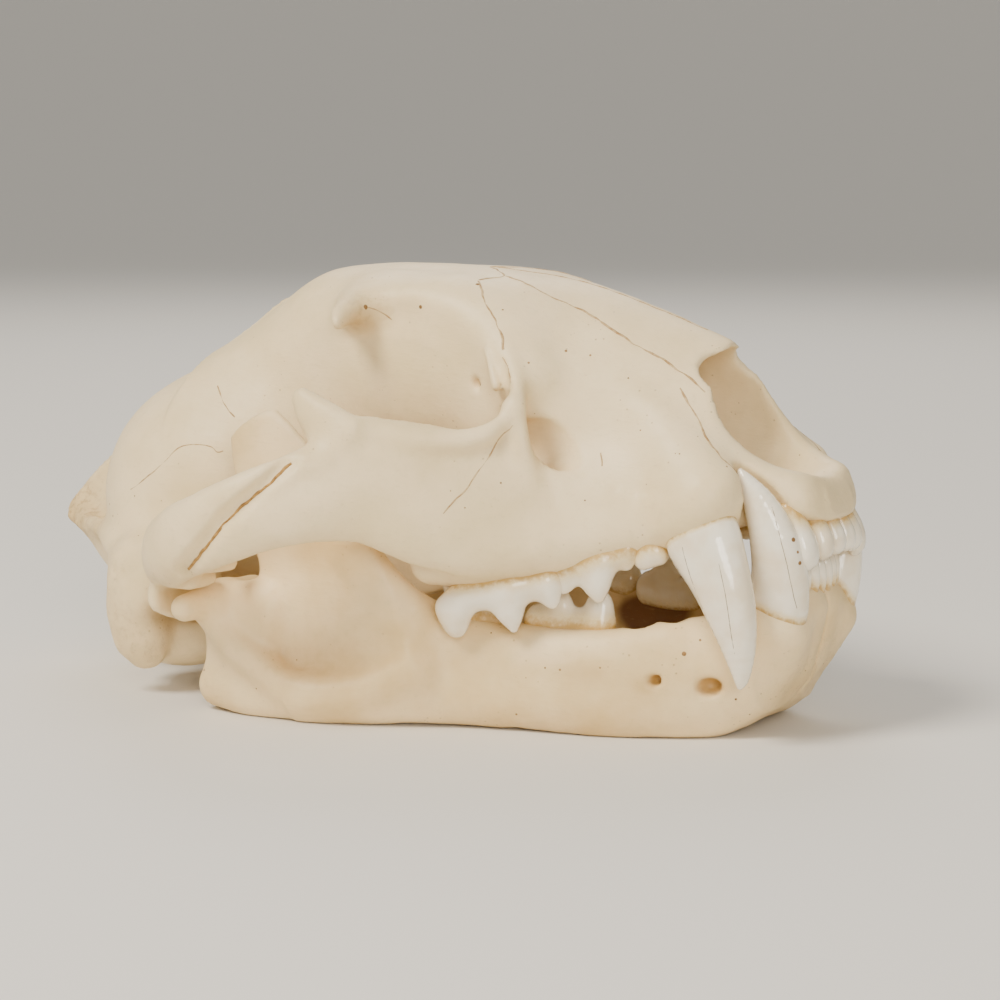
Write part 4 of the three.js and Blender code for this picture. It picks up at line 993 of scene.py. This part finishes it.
# painted shadow: the brown line along the step of the open cheek seam, with some dirt
OPEN_SEAM_SHADOW_AND_DIRT = dirt("open_seam_shadow_and_dirt", "#b98f4c", "#86602c")
PIT_DIRT = dirt("pit_dirt", "#a8834f", "#75552f")
CRACK_DIRT = dirt("crack_dirt", "#a99678", "#6f5c45")
print("dirt materials", 4)

# %% [markdown]
# Marks on the bone. "hollow" compares the solid share of a small neighbourhood:
# more than half solid means a hollow, which the bone colour darkens as painted shade.
# "deep" does the same with a wider neighbourhood, for broader painted shade with a
# yellow tint. The other marks are soft blots at named places.

# %% Marks on the bone
def blur(a, r):
    """Mean over a box of half width r samples, along each axis in turn."""
    for ax in range(3):
        pad = [(r + 1, r) if i == ax else (0, 0) for i in range(3)]
        c = np.cumsum(np.pad(a, pad, mode="edge"), axis=ax, dtype=np.float32)
        hi = np.take(c, range(2 * r + 1, c.shape[ax]), axis=ax)
        lo = np.take(c, range(0, c.shape[ax] - 2 * r - 1), axis=ax)
        a = (hi - lo) / (2 * r + 1)
    return a


# painted shade: the solid share near each point, used to darken hollows in the bone colour
def hollow(field, verts, reach):
    solid = (field.f < 0).astype(np.float32)
    r = max(1, round(reach / field.h))
    return field.sample(blur(blur(solid, r), r), verts + 0.2 * field.slope(verts))


def blots(verts, spots):
    """Sum of soft blots x, y, z, radii x, y, z, strength; the same on both sides."""
    share = np.zeros(len(verts))
    near = np.stack([verts[:, 0], np.abs(verts[:, 1]), verts[:, 2]], axis=1)
    for x, y, z, rx, ry, rz, k in spots:
        share += k * np.exp(-((((near - [x, y, z]) / [rx, ry, rz]) ** 2).sum(axis=1)))
    return np.clip(share, 0, 1)


# Stains, and painted shade: rows 1, 4 and 5 darken the inside of the hole under the eye, row 6 the
# inside of the nose, row 8 the channel cut near x = -50 and row 11 the roof of the mouth. The other
# rows are stains.
SKULL_STAIN_AND_SHADE = [
    (38.3, 29.5, 25.5, 2.2, 3.6, 4.5, 0.75),
    (-72, 34, 16, 10, 6, 10, 0.25),
    (-25, 62, 15, 14, 5, 3, 0.35),
    (35, 27, 25, 3, 3.4, 5, 0.6),
    (31, 29, 25.5, 4.5, 4.5, 6, 1.0),
    (52, 0, 22, 18, 10, 10, 0.55),
    (-57, 37, 12, 5, 5, 5, 0.35),
    (-50, 38, 7, 4, 6, 4, 0.85),
    (68, 14, 9, 5, 7, 4, 0.25),
    (24, 36, 2, 14, 6, 2.5, 0.2),
    (20, 0, 8, 40, 14, 6, 0.6),
    (24, 46, 27, 8, 6, 5, 0.16),
    (2, 27, 57, 5, 5, 3, 0.3),
]
SKULL_SPONGY = [
    (3, 27, 60, 6, 7, 4, 0.35),
    (-100, 4, 34, 9, 8, 9, 0.9),
    (-90, 12, 31, 8, 7, 6, 0.7),
    (-78, 22, 28, 8, 7, 5, 0.55),
    (-61, 37, 8, 6, 5, 11, 0.8),
]
# Stains, and painted shade: rows 1 and 7 darken the inner face of the jaw inside the mouth, rows 8
# and 9 the insides of the two holes on the outer face, and row 5 darkens the lower edge as painted
# shade, yellower too. The other rows are stains.
JAW_STAIN_AND_SHADE = [
    (24, 21, 17, 9, 4, 5.5, 0.95),
    (-14, 42, 14, 13, 6, 7, 0.3),
    (-30, 44, 12, 6, 5, 6, 0.3),
    (-22, 43, 9.5, 9, 5, 3, 0.35),
    (30, 29, 1, 42, 7, 4, 0.3),
    (35, 30, 13.5, 9, 3, 2.4, 0.25),
    (22, 20.3, 18, 15, 3.6, 8, 1.1),
    (59, 17, 11, 3, 4, 2.2, 0.75),
    (47, 22, 11, 2.2, 4, 1.8, 0.9),
    (66, 8, 27, 8, 8, 3, 0.2),
]
JAW_SPONGY = [(-42, 42, 3, 5, 6, 5, 0.35), (70, 3, 13, 5, 10, 9, 0.4)]


def roughen(field, depth, size, spots=None, seed=3):
    """Takes up to depth off a field in lumps about size across, everywhere or near spots."""
    shape = [int(n * field.h / size) + 3 for n in field.f.shape]
    lumps = np.random.default_rng(seed).random(shape).astype(np.float32)
    for ax, n in enumerate(field.f.shape):
        at = np.arange(n) * field.h / size
        i = at.astype(int)
        t = (at - i).reshape([-1 if a == ax else 1 for a in range(3)]).astype(np.float32)
        low = np.take(lumps, i, axis=ax)
        lumps = low + (np.take(lumps, i + 1, axis=ax) - low) * (t * t * (3 - 2 * t))
    if spots is None:
        field.f += depth * lumps
        return
    x, y, z = field.axes([slice(0, n) for n in field.f.shape])
    near = 0
    for sx, sy, sz, rx, ry, rz, k in spots:
        d = ((x - sx) / rx) ** 2 + ((np.abs(y) - sy) / ry) ** 2 + ((z - sz) / rz) ** 2
        near = near + k * np.exp(-d)
    field.f += (depth * lumps * np.minimum(near, 1)).astype(np.float32)


def marks(field, verts, stain_and_shade, spongy):
    return {
        # painted shade: both hollow marks darken hollows in the bone colour
        "hollow": hollow(field, verts, 1.7),
        "deep": hollow(field, verts, 4.5),
        "stain_and_shade": blots(verts, stain_and_shade),
        "spongy": blots(verts, spongy),
    }


# %% [markdown]
# Seams wander along the surface, and pits sit in it. Both are grown by Geometry Nodes:
# a coarse path or a few points go in, the tree lays them on the bone with a fixed seed,
# and a plain mesh comes out. A line swells and thins, and dips under the surface where
# it is thinnest, so it looks broken like a real seam.

# %% Seams and pits that follow the surface
def tree_of(name, sockets):
    """Geometry tree with named inputs; gives the tree, its inputs and its output."""
    tree = bpy.data.node_groups.new(name, "GeometryNodeTree")
    tree.interface.new_socket("Geometry", in_out="OUTPUT", socket_type="NodeSocketGeometry")
    tree.interface.new_socket("Geometry", in_out="INPUT", socket_type="NodeSocketGeometry")
    for key, kind in sockets.items():
        tree.interface.new_socket(key, in_out="INPUT", socket_type="NodeSocket" + kind)
    ins = tree.nodes.new("NodeGroupInput").outputs
    return tree, ins, tree.nodes.new("NodeGroupOutput").inputs[0]


def on_surface(t, surface, sink):
    """Position on the nearest face of a surface, sunk by sink, and the normal there."""
    near = add(t, "GeometryNodeProximity", {"Geometry": surface}, target_element="FACES")
    normal = t.nodes.new("GeometryNodeInputNormal").outputs[0]
    up = add(t, "GeometryNodeSampleNearestSurface", {"Mesh": surface}, data_type="FLOAT_VECTOR")
    t.links.new(normal, up.inputs["Value"])
    down = add(t, "VectorMath", {0: up.outputs[0]}, operation="SCALE")
    t.links.new(sink, down.inputs["Scale"])
    links = {0: near.outputs["Position"], 1: down.outputs[0]}
    return add(t, "VectorMath", links, operation="SUBTRACT").outputs[0], up.outputs[0]


def finish_tree(t, geometry, paint, out):
    real = add(t, "GeometryNodeRealizeInstances", {"Geometry": geometry}).outputs[0]
    done = add(t, "GeometryNodeSetMaterial", {"Geometry": real, "Material": paint})
    t.links.new(done.outputs[0], out)


def line_tree():
    sizes = {"Surface": "Object", "Width": "Float", "Sink": "Float", "Wiggle": "Float"}
    sizes |= {"Spacing": "Float", "Seed": "Float", "Paint": "Material"}
    t, ins, out = tree_of("line_on_bone", sizes)
    path = add(t, "GeometryNodeMeshToCurve", {"Mesh": ins["Geometry"]}).outputs[0]
    soft = add(t, "GeometryNodeCurveSplineType", {"Curve": path}, spline_type="CATMULL_ROM")
    links = {"Curve": soft.outputs[0], "Length": ins["Spacing"]}
    path = add(t, "GeometryNodeResampleCurve", links, mode="LENGTH").outputs[0]
    where = t.nodes.new("GeometryNodeInputPosition").outputs[0]
    links = {"Vector": where, "W": ins["Seed"], "Scale": 420, "Detail": 3}
    bend = add(t, "TexNoise", links, noise_dimensions="4D")
    links = {0: bend.outputs["Color"], 1: (0.5, 0.5, 0.5)}
    off = add(t, "VectorMath", links, operation="SUBTRACT").outputs[0]
    off = add(t, "VectorMath", {0: off, "Scale": ins["Wiggle"]}, operation="SCALE").outputs[0]
    path = add(t, "GeometryNodeSetPosition", {"Geometry": path, "Offset": off}).outputs[0]
    surface = add(t, "GeometryNodeObjectInfo", {"Object": ins["Surface"]}).outputs["Geometry"]
    place, _ = on_surface(t, surface, ins["Sink"])
    path = add(t, "GeometryNodeSetPosition", {"Geometry": path, "Position": place}).outputs[0]
    even = add(t, "GeometryNodeBlurAttribute", {"Iterations": 3}, data_type="FLOAT_VECTOR")
    t.links.new(where, next(i for i in even.inputs if i.type == "VECTOR" and i.enabled))
    even = next(o for o in even.outputs if o.enabled)
    path = add(t, "GeometryNodeSetPosition", {"Geometry": path, "Position": even}).outputs[0]
    links = {"Vector": where, "W": ins["Seed"], "Scale": 260, "Detail": 2}
    swell = add(t, "TexNoise", links, noise_dimensions="4D").outputs["Fac"]
    width = product(t, smooth(t, swell, 0.3, 0.6, 0.6, 1.0), ins["Width"])
    ring = add(t, "GeometryNodeCurvePrimitiveCircle", {"Resolution": 6, "Radius": 1.0}).outputs[0]
    links = {"Curve": path, "Profile Curve": ring, "Scale": width}
    finish_tree(t, add(t, "GeometryNodeCurveToMesh", links).outputs[0], ins["Paint"], out)
    return t


def pit_tree():
    sizes = {"Surface": "Object", "Sink": "Float", "Paint": "Material"}
    t, ins, out = tree_of("pits_in_bone", sizes)
    points = add(t, "GeometryNodeMeshToPoints", {"Mesh": ins["Geometry"]}).outputs[0]
    surface = add(t, "GeometryNodeObjectInfo", {"Object": ins["Surface"]}).outputs["Geometry"]
    place, up = on_surface(t, surface, ins["Sink"])
    points = add(t, "GeometryNodeSetPosition", {"Geometry": points, "Position": place}).outputs[0]
    size = add(t, "GeometryNodeInputNamedAttribute", {"Name": "size"}, data_type="FLOAT").outputs[0]
    flat = add(t, "VectorMath", {0: (1, 1, 0.3), "Scale": size}, operation="SCALE").outputs[0]
    turn = add(t, "FunctionNodeAlignRotationToVector", {"Vector": up}, axis="Z").outputs[0]
    ball = add(t, "GeometryNodeMeshIcoSphere", {"Radius": 1.0, "Subdivisions": 2}).outputs[0]
    links = {"Points": points, "Instance": ball, "Rotation": turn, "Scale": flat}
    finish_tree(t, add(t, "GeometryNodeInstanceOnPoints", links).outputs[0], ins["Paint"], out)
    return t


def pore_tree():
    sizes = {"Surface": "Object", "Density": "Float", "Smallest": "Float", "Largest": "Float"}
    t, ins, out = tree_of("pores_in_bone", sizes | {"Seed": "Int", "Paint": "Material"})
    surface = add(t, "GeometryNodeObjectInfo", {"Object": ins["Surface"]}).outputs["Geometry"]
    share = add(t, "GeometryNodeInputNamedAttribute", {"Name": "porous"}, data_type="FLOAT")
    dense = product(t, share.outputs[0], ins["Density"])
    links = {"Mesh": surface, "Density": dense, "Seed": ins["Seed"]}
    spread = add(t, "GeometryNodeDistributePointsOnFaces", links)
    links = {2: ins["Smallest"], 3: ins["Largest"], "Seed": ins["Seed"]}
    size = add(t, "FunctionNodeRandomValue", links, data_type="FLOAT").outputs[1]
    flat = add(t, "VectorMath", {0: (1, 1, 0.18), "Scale": size}, operation="SCALE").outputs[0]
    ball = add(t, "GeometryNodeMeshIcoSphere", {"Radius": 1.0, "Subdivisions": 1}).outputs[0]
    links = {key: spread.outputs[key] for key in ("Points", "Rotation")}
    links |= {"Instance": ball, "Scale": flat}
    finish_tree(t, add(t, "GeometryNodeInstanceOnPoints", links).outputs[0], ins["Paint"], out)
    return t


LINES, PITS, PORES = line_tree(), pit_tree(), pore_tree()


def grow(name, tree, values, verts, edges=(), sizes=None):
    """Runs a geometry tree on points in metres and keeps the result as a plain mesh."""
    seed_mesh = bpy.data.meshes.new(name)
    seed_mesh.from_pydata([tuple(v) for v in verts], list(edges), [])
    if sizes is not None:
        seed_mesh.attributes.new("size", "FLOAT", "POINT").data.foreach_set("value", sizes)
    o = bpy.data.objects.new(name, seed_mesh)
    bpy.context.collection.objects.link(o)
    m = o.modifiers.new("grow", "NODES")
    m.node_group = tree
    for item in tree.interface.items_tree:
        if item.in_out == "INPUT" and item.name in values:
            m[item.identifier] = values[item.name]
    done = bpy.data.meshes.new_from_object(o.evaluated_get(bpy.context.evaluated_depsgraph_get()))
    o.modifiers.remove(m)
    o.data = done
    done.shade_smooth()
    bpy.data.meshes.remove(seed_mesh)
    print(f"{name}: {sum(len(p.vertices) - 2 for p in done.polygons)} triangles")
    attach(o, "root")


def both_sides(rows):
    return [rows, [(x, -y, z) for x, y, z in rows]]


def lines(name, paths, place, surface, paint, width, wiggle):
    """Lines of dirt along paths given in millimetres, and the painted shadow line in the open cheek
    seam; place brings them into the frame.
    """
    verts, edges = [], []
    for path in paths:
        start = len(verts)
        verts += (place(np.array(path, float)) * MM).tolist()
        edges += [(i, i + 1) for i in range(start, len(verts) - 1)]
    values = {"Width": width * MM, "Sink": 0.5 * width * MM, "Wiggle": wiggle * MM}
    values |= {"Spacing": 0.4 * MM, "Seed": float(len(verts)), "Surface": surface, "Paint": paint}
    grow(name, LINES, values, verts, edges)


def pits(name, rows, place, surface, paint):
    """Small dark pits at rows of x, y, z, radius in millimetres."""
    r = np.array(rows, float)
    values = {"Surface": surface, "Sink": 0.05 * MM, "Paint": paint}
    grow(name, PITS, values, place(r[:, :3]) * MM, sizes=(r[:, 3] * MM).tolist())


def pores(name, surface, paint, density):
    values = {"Surface": surface, "Density": density, "Smallest": 0.1 * MM, "Largest": 0.28 * MM}
    grow(name, PORES, values | {"Seed": 11, "Paint": paint}, [(0, 0, 0)])


print("trees", LINES.name, PITS.name, PORES.name)

# %% [markdown]
# The upper skull is one field, symmetric about the middle plane. The cheek bones are
# parted from it along their seams, as on the real skull, where the seam stays open.

# %% Upper skull and cheek bones
STEP = 0.85
lower_in_level = level(LOWER_CANINE)
room = [[*r[:3], r[3] + 0.9, r[4] + 0.9] for r in lower_in_level]
up_level = [math.cos(TIP), 0, -math.sin(TIP)]
# relief finer than the solids have: the open cheek seam, the spur and pits at the front
# corner of the eye, the seam and notch behind the ear
OPEN_SEAM = [
    (2.4, 60.8, 32.4), (-1.7, 64, 29), (-6, 65.7, 26.5), (-11.3, 67.1, 23.7),
    (-16.2, 67.6, 20.3), (-21.6, 66.5, 17.1), (-24.7, 65.6, 15.5),
]
RELIEF = [
    ["cut", 1.0, bar([[x, y + 0.3, z, 1.6, 1.6] for x, y, z in OPEN_SEAM])],
    ["add", 0.8, bar([
        [30.4, 27.6, 47, 0.5, 0.6],
        [31.2, 28.4, 42.5, 0.8, 1.2],
        [32.2, 29.6, 38, 1, 1.5],
    ])],
    ["cut", 0.6, bar([
        [33.8, 28.8, 43, 0.5, 0.6],
        [34.6, 30.6, 39, 1.1, 1.2],
        [35, 32, 36.4, 0.9, 1],
    ])],
    ["cut", 0.5, ell([25.3, 26, 39.9], [0.9, 1.8, 1.4])],
    ["cut", 0.6, bar([
        [-62, 40.6, 18.6, 0.8, 0.8],
        [-58, 42, 18.2, 0.9, 0.9],
        [-53, 42.6, 18.6, 0.8, 0.8],
    ])],
    ["cut", 0.8, bar([[-65, 38, -7, 1.4, 1.6], [-60.6, 40, -2, 1, 1.2], [-59, 42, 3, 0.6, 0.6]])],
]
room_cut = ["cut", 0.6, bar(room, up_level)]
skull = Field(SKULL_OPS + RELIEF + [room_cut], [-108, 0, -8], [92, 71, 78], STEP, True)
roughen(skull, 0.22, 7.5)
roughen(skull, 0.12, 3.2)
roughen(skull, 1.1, 2.6, SKULL_SPONGY)
verts, faces = largest(*skull.skin())
print("upper skull", len(verts), "points")


def inside_outline(x, z, outline):
    """True where x, z lies inside a closed outline."""
    hit = np.zeros(len(x), bool)
    for (ax, az), (bx, bz) in zip(outline, outline[1:] + outline[:1]):
        if az != bz:
            cross = (az > z) != (bz > z)
            hit ^= cross & (x < (bx - ax) * (z - az) / (bz - az) + ax)
    return hit


verts, faces = thin(verts, faces, skull, 188000)
middle = verts[faces].mean(axis=1)
cheek = inside_outline(middle[:, 0], middle[:, 2], SEAM_REAR + SEAM_FRONT + [[46, 54], [-6, 54]])
cheek &= np.abs(middle[:, 1]) > 34.2
left = middle[:, 1] > 0
parts = {"cranium": ~cheek, "jugal_left": cheek & left, "jugal_right": cheek & ~left}
for name, keep in parts.items():
    v, f = pick(verts, faces, keep)
    o = make(name + "_bone", v, f, skull, settle, BONE, marks(skull, v, SKULL_STAIN_AND_SHADE, SKULL_SPONGY))
    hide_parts(name)
    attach(o, "root")

# %% [markdown]
# Seams between the skull bones: brow and muzzle, nose, the front jaw bone, the back of
# the braincase, and the open one in the cheek arch, whose brown line is painted shadow of
# the step there, with some dirt.

# %% Seams and pits of the upper skull
SKULL_POROUS = [
    (60, 22, 22, 12, 8, 12, 0.9),
    (38, 22, 44, 10, 8, 10, 0.5),
    (28, 40, 22, 14, 8, 8, 0.5),
    (72, 14, 14, 8, 8, 8, 0.8),
    (-62, 30, 26, 12, 12, 10, 0.6),
    (10, 14, 66, 22, 16, 6, 0.35),
]
SEAMS = [
    [(20, 0.2, 65), (24, 5, 63), (28.1, 9.8, 60.6), (27, 13, 61), (25.8, 16.8, 60.4)],
    [
        (25.8, 16.8, 60.4), (29.5, 22.1, 56), (31.8, 24.4, 51.8), (33.4, 25.6, 48.9),
        (34.6, 27.4, 44.7),
    ],
    [
        (28.1, 9.8, 60.6), (36.9, 12.3, 55.5), (44.6, 11.2, 50.1), (52.9, 12.6, 42.7),
        (60.7, 12.5, 36.5), (68.4, 13.1, 28.4),
    ],
    [(63.7, 14.4, 31), (67.3, 16.8, 24), (71.5, 19.9, 17), (74.5, 20, 11)],
]
FAINT_SEAMS = [
    [
        (-34.7, 29.6, 38.3), (-36.8, 30.4, 38.1), (-37.5, 30.3, 39.5),
        (-44.1, 31.3, 41.1), (-50.3, 32.7, 37.7), (-59.8, 31.7, 34.6),
    ],
    [(-38.2, 22.7, 52.4), (-35.9, 25.1, 48.3), (-33, 26.1, 44.4)],
    [
        (37.7, 35.2, 30.2), (33.2, 38, 25.9), (30.2, 41.2, 22), (28.7, 42.5, 20.1),
        (24, 46, 16),
    ],
    [(5.2, 27.1, 59.9), (6.7, 25.1, 58.4), (8.6, 24.1, 55.9)],
    [(34, 29, 44), (35.4, 30.6, 41), (36.2, 31.6, 38)],
]
MIDDLE_SEAM = [(20, 0, 65), (36, 0, 59), (52, 0, 50), (66, 0, 41)]
SCRATCHES = [[(48.8, -23.9, 21.9), (49.1, -25.6, 18.4)]]
SKULL_PITS = [
    (43.7, -19.6, 42.5, 0.35),
    (47.7, -17.7, 40.5, 0.3),
    (39, -26.8, 41.6, 0.3),
    (15.9, -24.6, 57.4, 0.45),
    (5.2, -27.1, 59.9, 0.55),
    (25.3, -25.7, 39.9, 0.5),
    (46.1, -29.2, 13, 0.25),
    (57.2, -21.8, 24, 0.25),
    (53.3, -19.9, 30.6, 0.2),
    (26.6, -18.6, 59.5, 0.5),
]
porous = {"porous": blots(verts, SKULL_POROUS)}
ground = make("skull_ground", verts, faces, skull, settle, BONE, porous)
pairs = [side for path in SEAMS for side in both_sides(path)]
lines("skull_seams", pairs + [MIDDLE_SEAM], settle, ground, SEAM_DIRT, 0.34, 2.0)
faint = [side for path in FAINT_SEAMS for side in both_sides(path)]
lines("skull_faint_seams", faint + SCRATCHES, settle, ground, SEAM_DIRT, 0.2, 1.2)
# painted shadow: the brown line in the open cheek seam stands for the shadow of its step
lines("cheek_open_seams", both_sides(OPEN_SEAM), settle, ground, OPEN_SEAM_SHADOW_AND_DIRT, 0.42, 0)
pits("skull_pits", SKULL_PITS, settle, ground, PIT_DIRT)
pores("skull_pores", ground, PIT_DIRT, 20000.0)
bpy.data.objects.remove(ground)

# %% [markdown]
# Each jaw half is made on the left and mirrored. The two meet in the middle of the chin.

# %% Lower jaw
JSTEP = 0.7
CHIN_GAP = 0.15  # from the middle plane to each half
across = lambda x, y, z: y - CHIN_GAP + 0 * x + 0 * z
under = lambda x, y, z: z + 0 * x + 0 * y
jaw_ops = JAW_OPS + [
    ["cut", 0, [((-60, -9, -6), (90, CHIN_GAP, 70), across)]],
    ["cut", 0, [((-60, -9, -6), (90, 70, 0), under)]],
]
jaw = Field(jaw_ops, [-52, -9, -6], [84, 64, 66], JSTEP)
roughen(jaw, 0.2, 7.5)
roughen(jaw, 0.1, 3)
roughen(jaw, 0.8, 2.4, JAW_SPONGY)
jaw_v, jaw_f = thin(*largest(*jaw.skin()), jaw, 90000)
JAW_POROUS = [
    (70, 3, 14, 8, 10, 9, 0.9),
    (30, 29, 10, 40, 6, 8, 0.35),
    (-30, 44, 10, 12, 6, 10, 0.4),
]
JAW_PITS = [
    (54, -22.3, 17.5, 0.5),
    (31.3, -30.9, 13.6, 0.3),
    (39.1, -28.9, 14.4, 0.25),
    (62.9, -17.5, 8.5, 0.3),
    (64.3, -14, 5, 0.25),
    (56.4, -20.2, 20.1, 0.3),
]
for name, side in (("mandible_left", 1), ("mandible_right", -1)):
    flip = np.array([1, side, 1])
    f = jaw_f if side > 0 else jaw_f[:, ::-1]
    place = lambda p, flip=flip: rest(p * flip)
    known = marks(jaw, jaw_v, JAW_STAIN_AND_SHADE, JAW_SPONGY) | {"porous": blots(jaw_v, JAW_POROUS)}
    o = make(name + "_bone", jaw_v, f, jaw, place, BONE_JAW, known)
    pores(name + "_pores", o, PIT_DIRT, 20000.0)
    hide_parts(name)
    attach(o, "root")
pits("jaw_pits", JAW_PITS, rest, o, PIT_DIRT)

# %% [markdown]
# Every tooth is its own small field on a finer grid, because cusps are sharper than
# bone. A tooth knows how far it stands from the bone, which places the gum stain.

# %% Teeth
TSTEP = 0.38


def tooth(name, ops, bone_field, place, replaced=None, step=TSTEP, limit=14000, reach=3.0):
    forms = [form for kind, _, group in ops if kind == "add" for form in group]
    lo = np.min([form[0] for form in forms], axis=0) - 1.5
    hi = np.max([form[1] for form in forms], axis=0) + 1.5
    field = Field(ops, lo, hi, step)
    v, f = thin(*largest(*field.skin()), field, limit)
    out = bone_field.sample(bone_field.f, v)
    gum = np.clip(1 - out / reach, 0, 1) ** 1.3
    for side, end in ((1, "left"), (-1, "right")):
        flip = np.array([1, side, 1])
        o = make(
            f"{name}_{end}",
            v,
            f if side > 0 else f[:, ::-1],
            field,
            lambda p, flip=flip: place(p * flip),
            ENAMEL,
            {"gum": gum},
        )
        if replaced:
            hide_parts(f"{replaced}_{end}")
        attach(o, "root")
    return o


form = [["add", 0, bar(UPPER_CANINE, X)]]
upper = tooth("upper_canine_tooth", form, skull, settle, "upper_canine", reach=0.9)
form = [["add", 0, bar(LOWER_CANINE, X)]]
lower = tooth("lower_canine_tooth", form, jaw, rest, "lower_canine", reach=1.6)
# drying cracks run down the right canines, with brown spots on the lower one
UPPER_CRACKS = [
    [(70.6, -27.3, -3.2), (70.5, -27.3, -11.9), (69.1, -25.8, -21.7)],
    [(64, -27.4, 0.8), (64.6, -26.4, -10.1), (66.2, -24.9, -20.4)],
]
LOWER_CRACKS = [[(69.8, -17.4, 47), (72.9, -17.2, 36.6), (74.3, -14.8, 26.7)]]
LOWER_SPOTS = [(73.7, -15.8, 40.4, 0.5), (74.4, -15.3, 38, 0.35), (74.8, -15.1, 35.9, 0.45)]
lines("upper_canine_cracks", UPPER_CRACKS, settle, upper, CRACK_DIRT, 0.1, 0.5)
lines("lower_canine_cracks", LOWER_CRACKS, rest, lower, CRACK_DIRT, 0.1, 0.5)
pits("lower_canine_spots", LOWER_SPOTS, rest, lower, PIT_DIRT)
tooth("upper_fourth_premolar", P4, skull, settle)
tooth("upper_third_premolar", P3, skull, settle)
tooth("upper_peg", P2, skull, settle)
tooth("upper_molar", M1, skull, settle)
tooth("lower_fourth_premolar", LP4, jaw, rest)
tooth("lower_molar", LM1, jaw, rest)


def upper_incisor(y, w, size):
    x = 82.8 - y * y * 0.017
    rows = [[x - 1, y * 0.96, 3, w * 0.8, 2], [x + 0.8, y, -3, w, 2.3]]
    rows += [[x + 1.2, y, -3 - size * 0.4, w, 1.9], [x + 0.6, y, -3 - size * 0.62, w * 0.6, 0.8]]
    return [["add", 0, bar(rows, X)]]


def lower_incisor(y, w, size):
    x = 72.6 - y * y * 0.02
    rows = [[x - 1, y, 26, w * 0.7, 2], [x, y, 30.5, w, 2]]
    rows += [[x + 0.2, y, 30.5 + size * 0.6, w, 1.5]]
    rows += [[x - 0.2, y, 30.5 + size * 0.85, w * 0.8, 0.8]]
    return [["add", 0, bar(rows, X)]]


for i, row in enumerate(UPPER_INCISORS):
    tooth(f"upper_incisor_{i + 1}", upper_incisor(*row), skull, settle, limit=5000)
for i, row in enumerate(LOWER_INCISORS):
    tooth(f"lower_incisor_{i + 1}", lower_incisor(*row), jaw, rest, limit=4000)

# %% [markdown]
# A pale floor that curves up far behind the skull, a large soft lamp above and in front,
# a weaker one on the other side, and a bright even surround: plain studio light. The
# camera stands where the photograph was taken from.

# %% Floor, light and camera
mesh = bpy.data.meshes.new("floor")
FLAT, CURVE, HIGH = 2.0, 1.6, 0.8  # metres: flat radius, width and height of the curved rim
AROUND, UP = 96, 16
turns = np.linspace(0, 2 * math.pi, AROUND, endpoint=False)
lift = np.linspace(0, math.pi / 2, UP + 1)
profile = [(FLAT + CURVE * math.sin(a), HIGH * (1 - math.cos(a))) for a in lift]
ring = [(r * math.cos(a), r * math.sin(a), z) for r, z in profile for a in turns]
sides = []
for j in range(UP):
    for i in range(AROUND):
        a, b = AROUND * j + i, AROUND * j + (i + 1) % AROUND
        sides.append((a, a + AROUND, b + AROUND, b))
mesh.from_pydata(ring, [], [tuple(range(AROUND))] + sides)
mesh.shade_smooth()
mesh.polygons[0].use_smooth = False
floor = bpy.data.objects.new("floor", mesh)
bpy.context.collection.objects.link(floor)
m, t, shader, where = material("floor_paper")
shader.inputs["Base Color"].default_value = rgb("#e4e1db")
shader.inputs["Roughness"].default_value = 0.8
mesh.materials.append(m)
floor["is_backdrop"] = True


def lamp(name, place, aim, size, power, colour):
    data = bpy.data.lights.new(name, "AREA")
    data.shape = "DISK"
    data.size = size
    data.energy = power
    data.color = rgb(colour)[:3]
    o = bpy.data.objects.new(name, data)
    bpy.context.collection.objects.link(o)
    o.location = place
    o.rotation_euler = (Vector(aim) - Vector(place)).to_track_quat("-Z", "Y").to_euler()
    return o


lamp("key", (-0.35, -0.9, 1.15), (0, 0, 0.05), 0.6, 24, "#fff6e8")
lamp("fill", (0.75, -0.95, 0.42), (0, 0, 0.05), 0.5, 8, "#fff8ee")
lamp("rim", (-0.5, 0.9, 0.9), (0, 0, 0.05), 0.8, 6, "#fff8ee")
world = bpy.data.worlds.new("studio")
bpy.context.scene.world = world
world.use_nodes = True
back = world.node_tree.nodes["Background"]
back.inputs["Color"].default_value = rgb("#edebe6")
back.inputs["Strength"].default_value = 0.5

AIM_HEIGHT, DISTANCE = 0.04141, 0.6
target = Vector((SHIFT_X * MM, 0, AIM_HEIGHT))
azimuth, elevation = math.radians(30), math.radians(7.5)
flat = math.cos(elevation)
back_to = (flat * math.sin(azimuth), -flat * math.cos(azimuth), math.sin(elevation))
eye = target + DISTANCE * Vector(back_to)
data = bpy.data.cameras.new("camera")
data.sensor_width = 36
data.lens = 103.68
camera = bpy.data.objects.new("camera", data)
bpy.context.collection.objects.link(camera)
camera.location = eye
camera.rotation_euler = (target - eye).to_track_quat("-Z", "Y").to_euler()
bpy.context.scene.camera = camera
print("camera at", [round(v, 4) for v in eye])
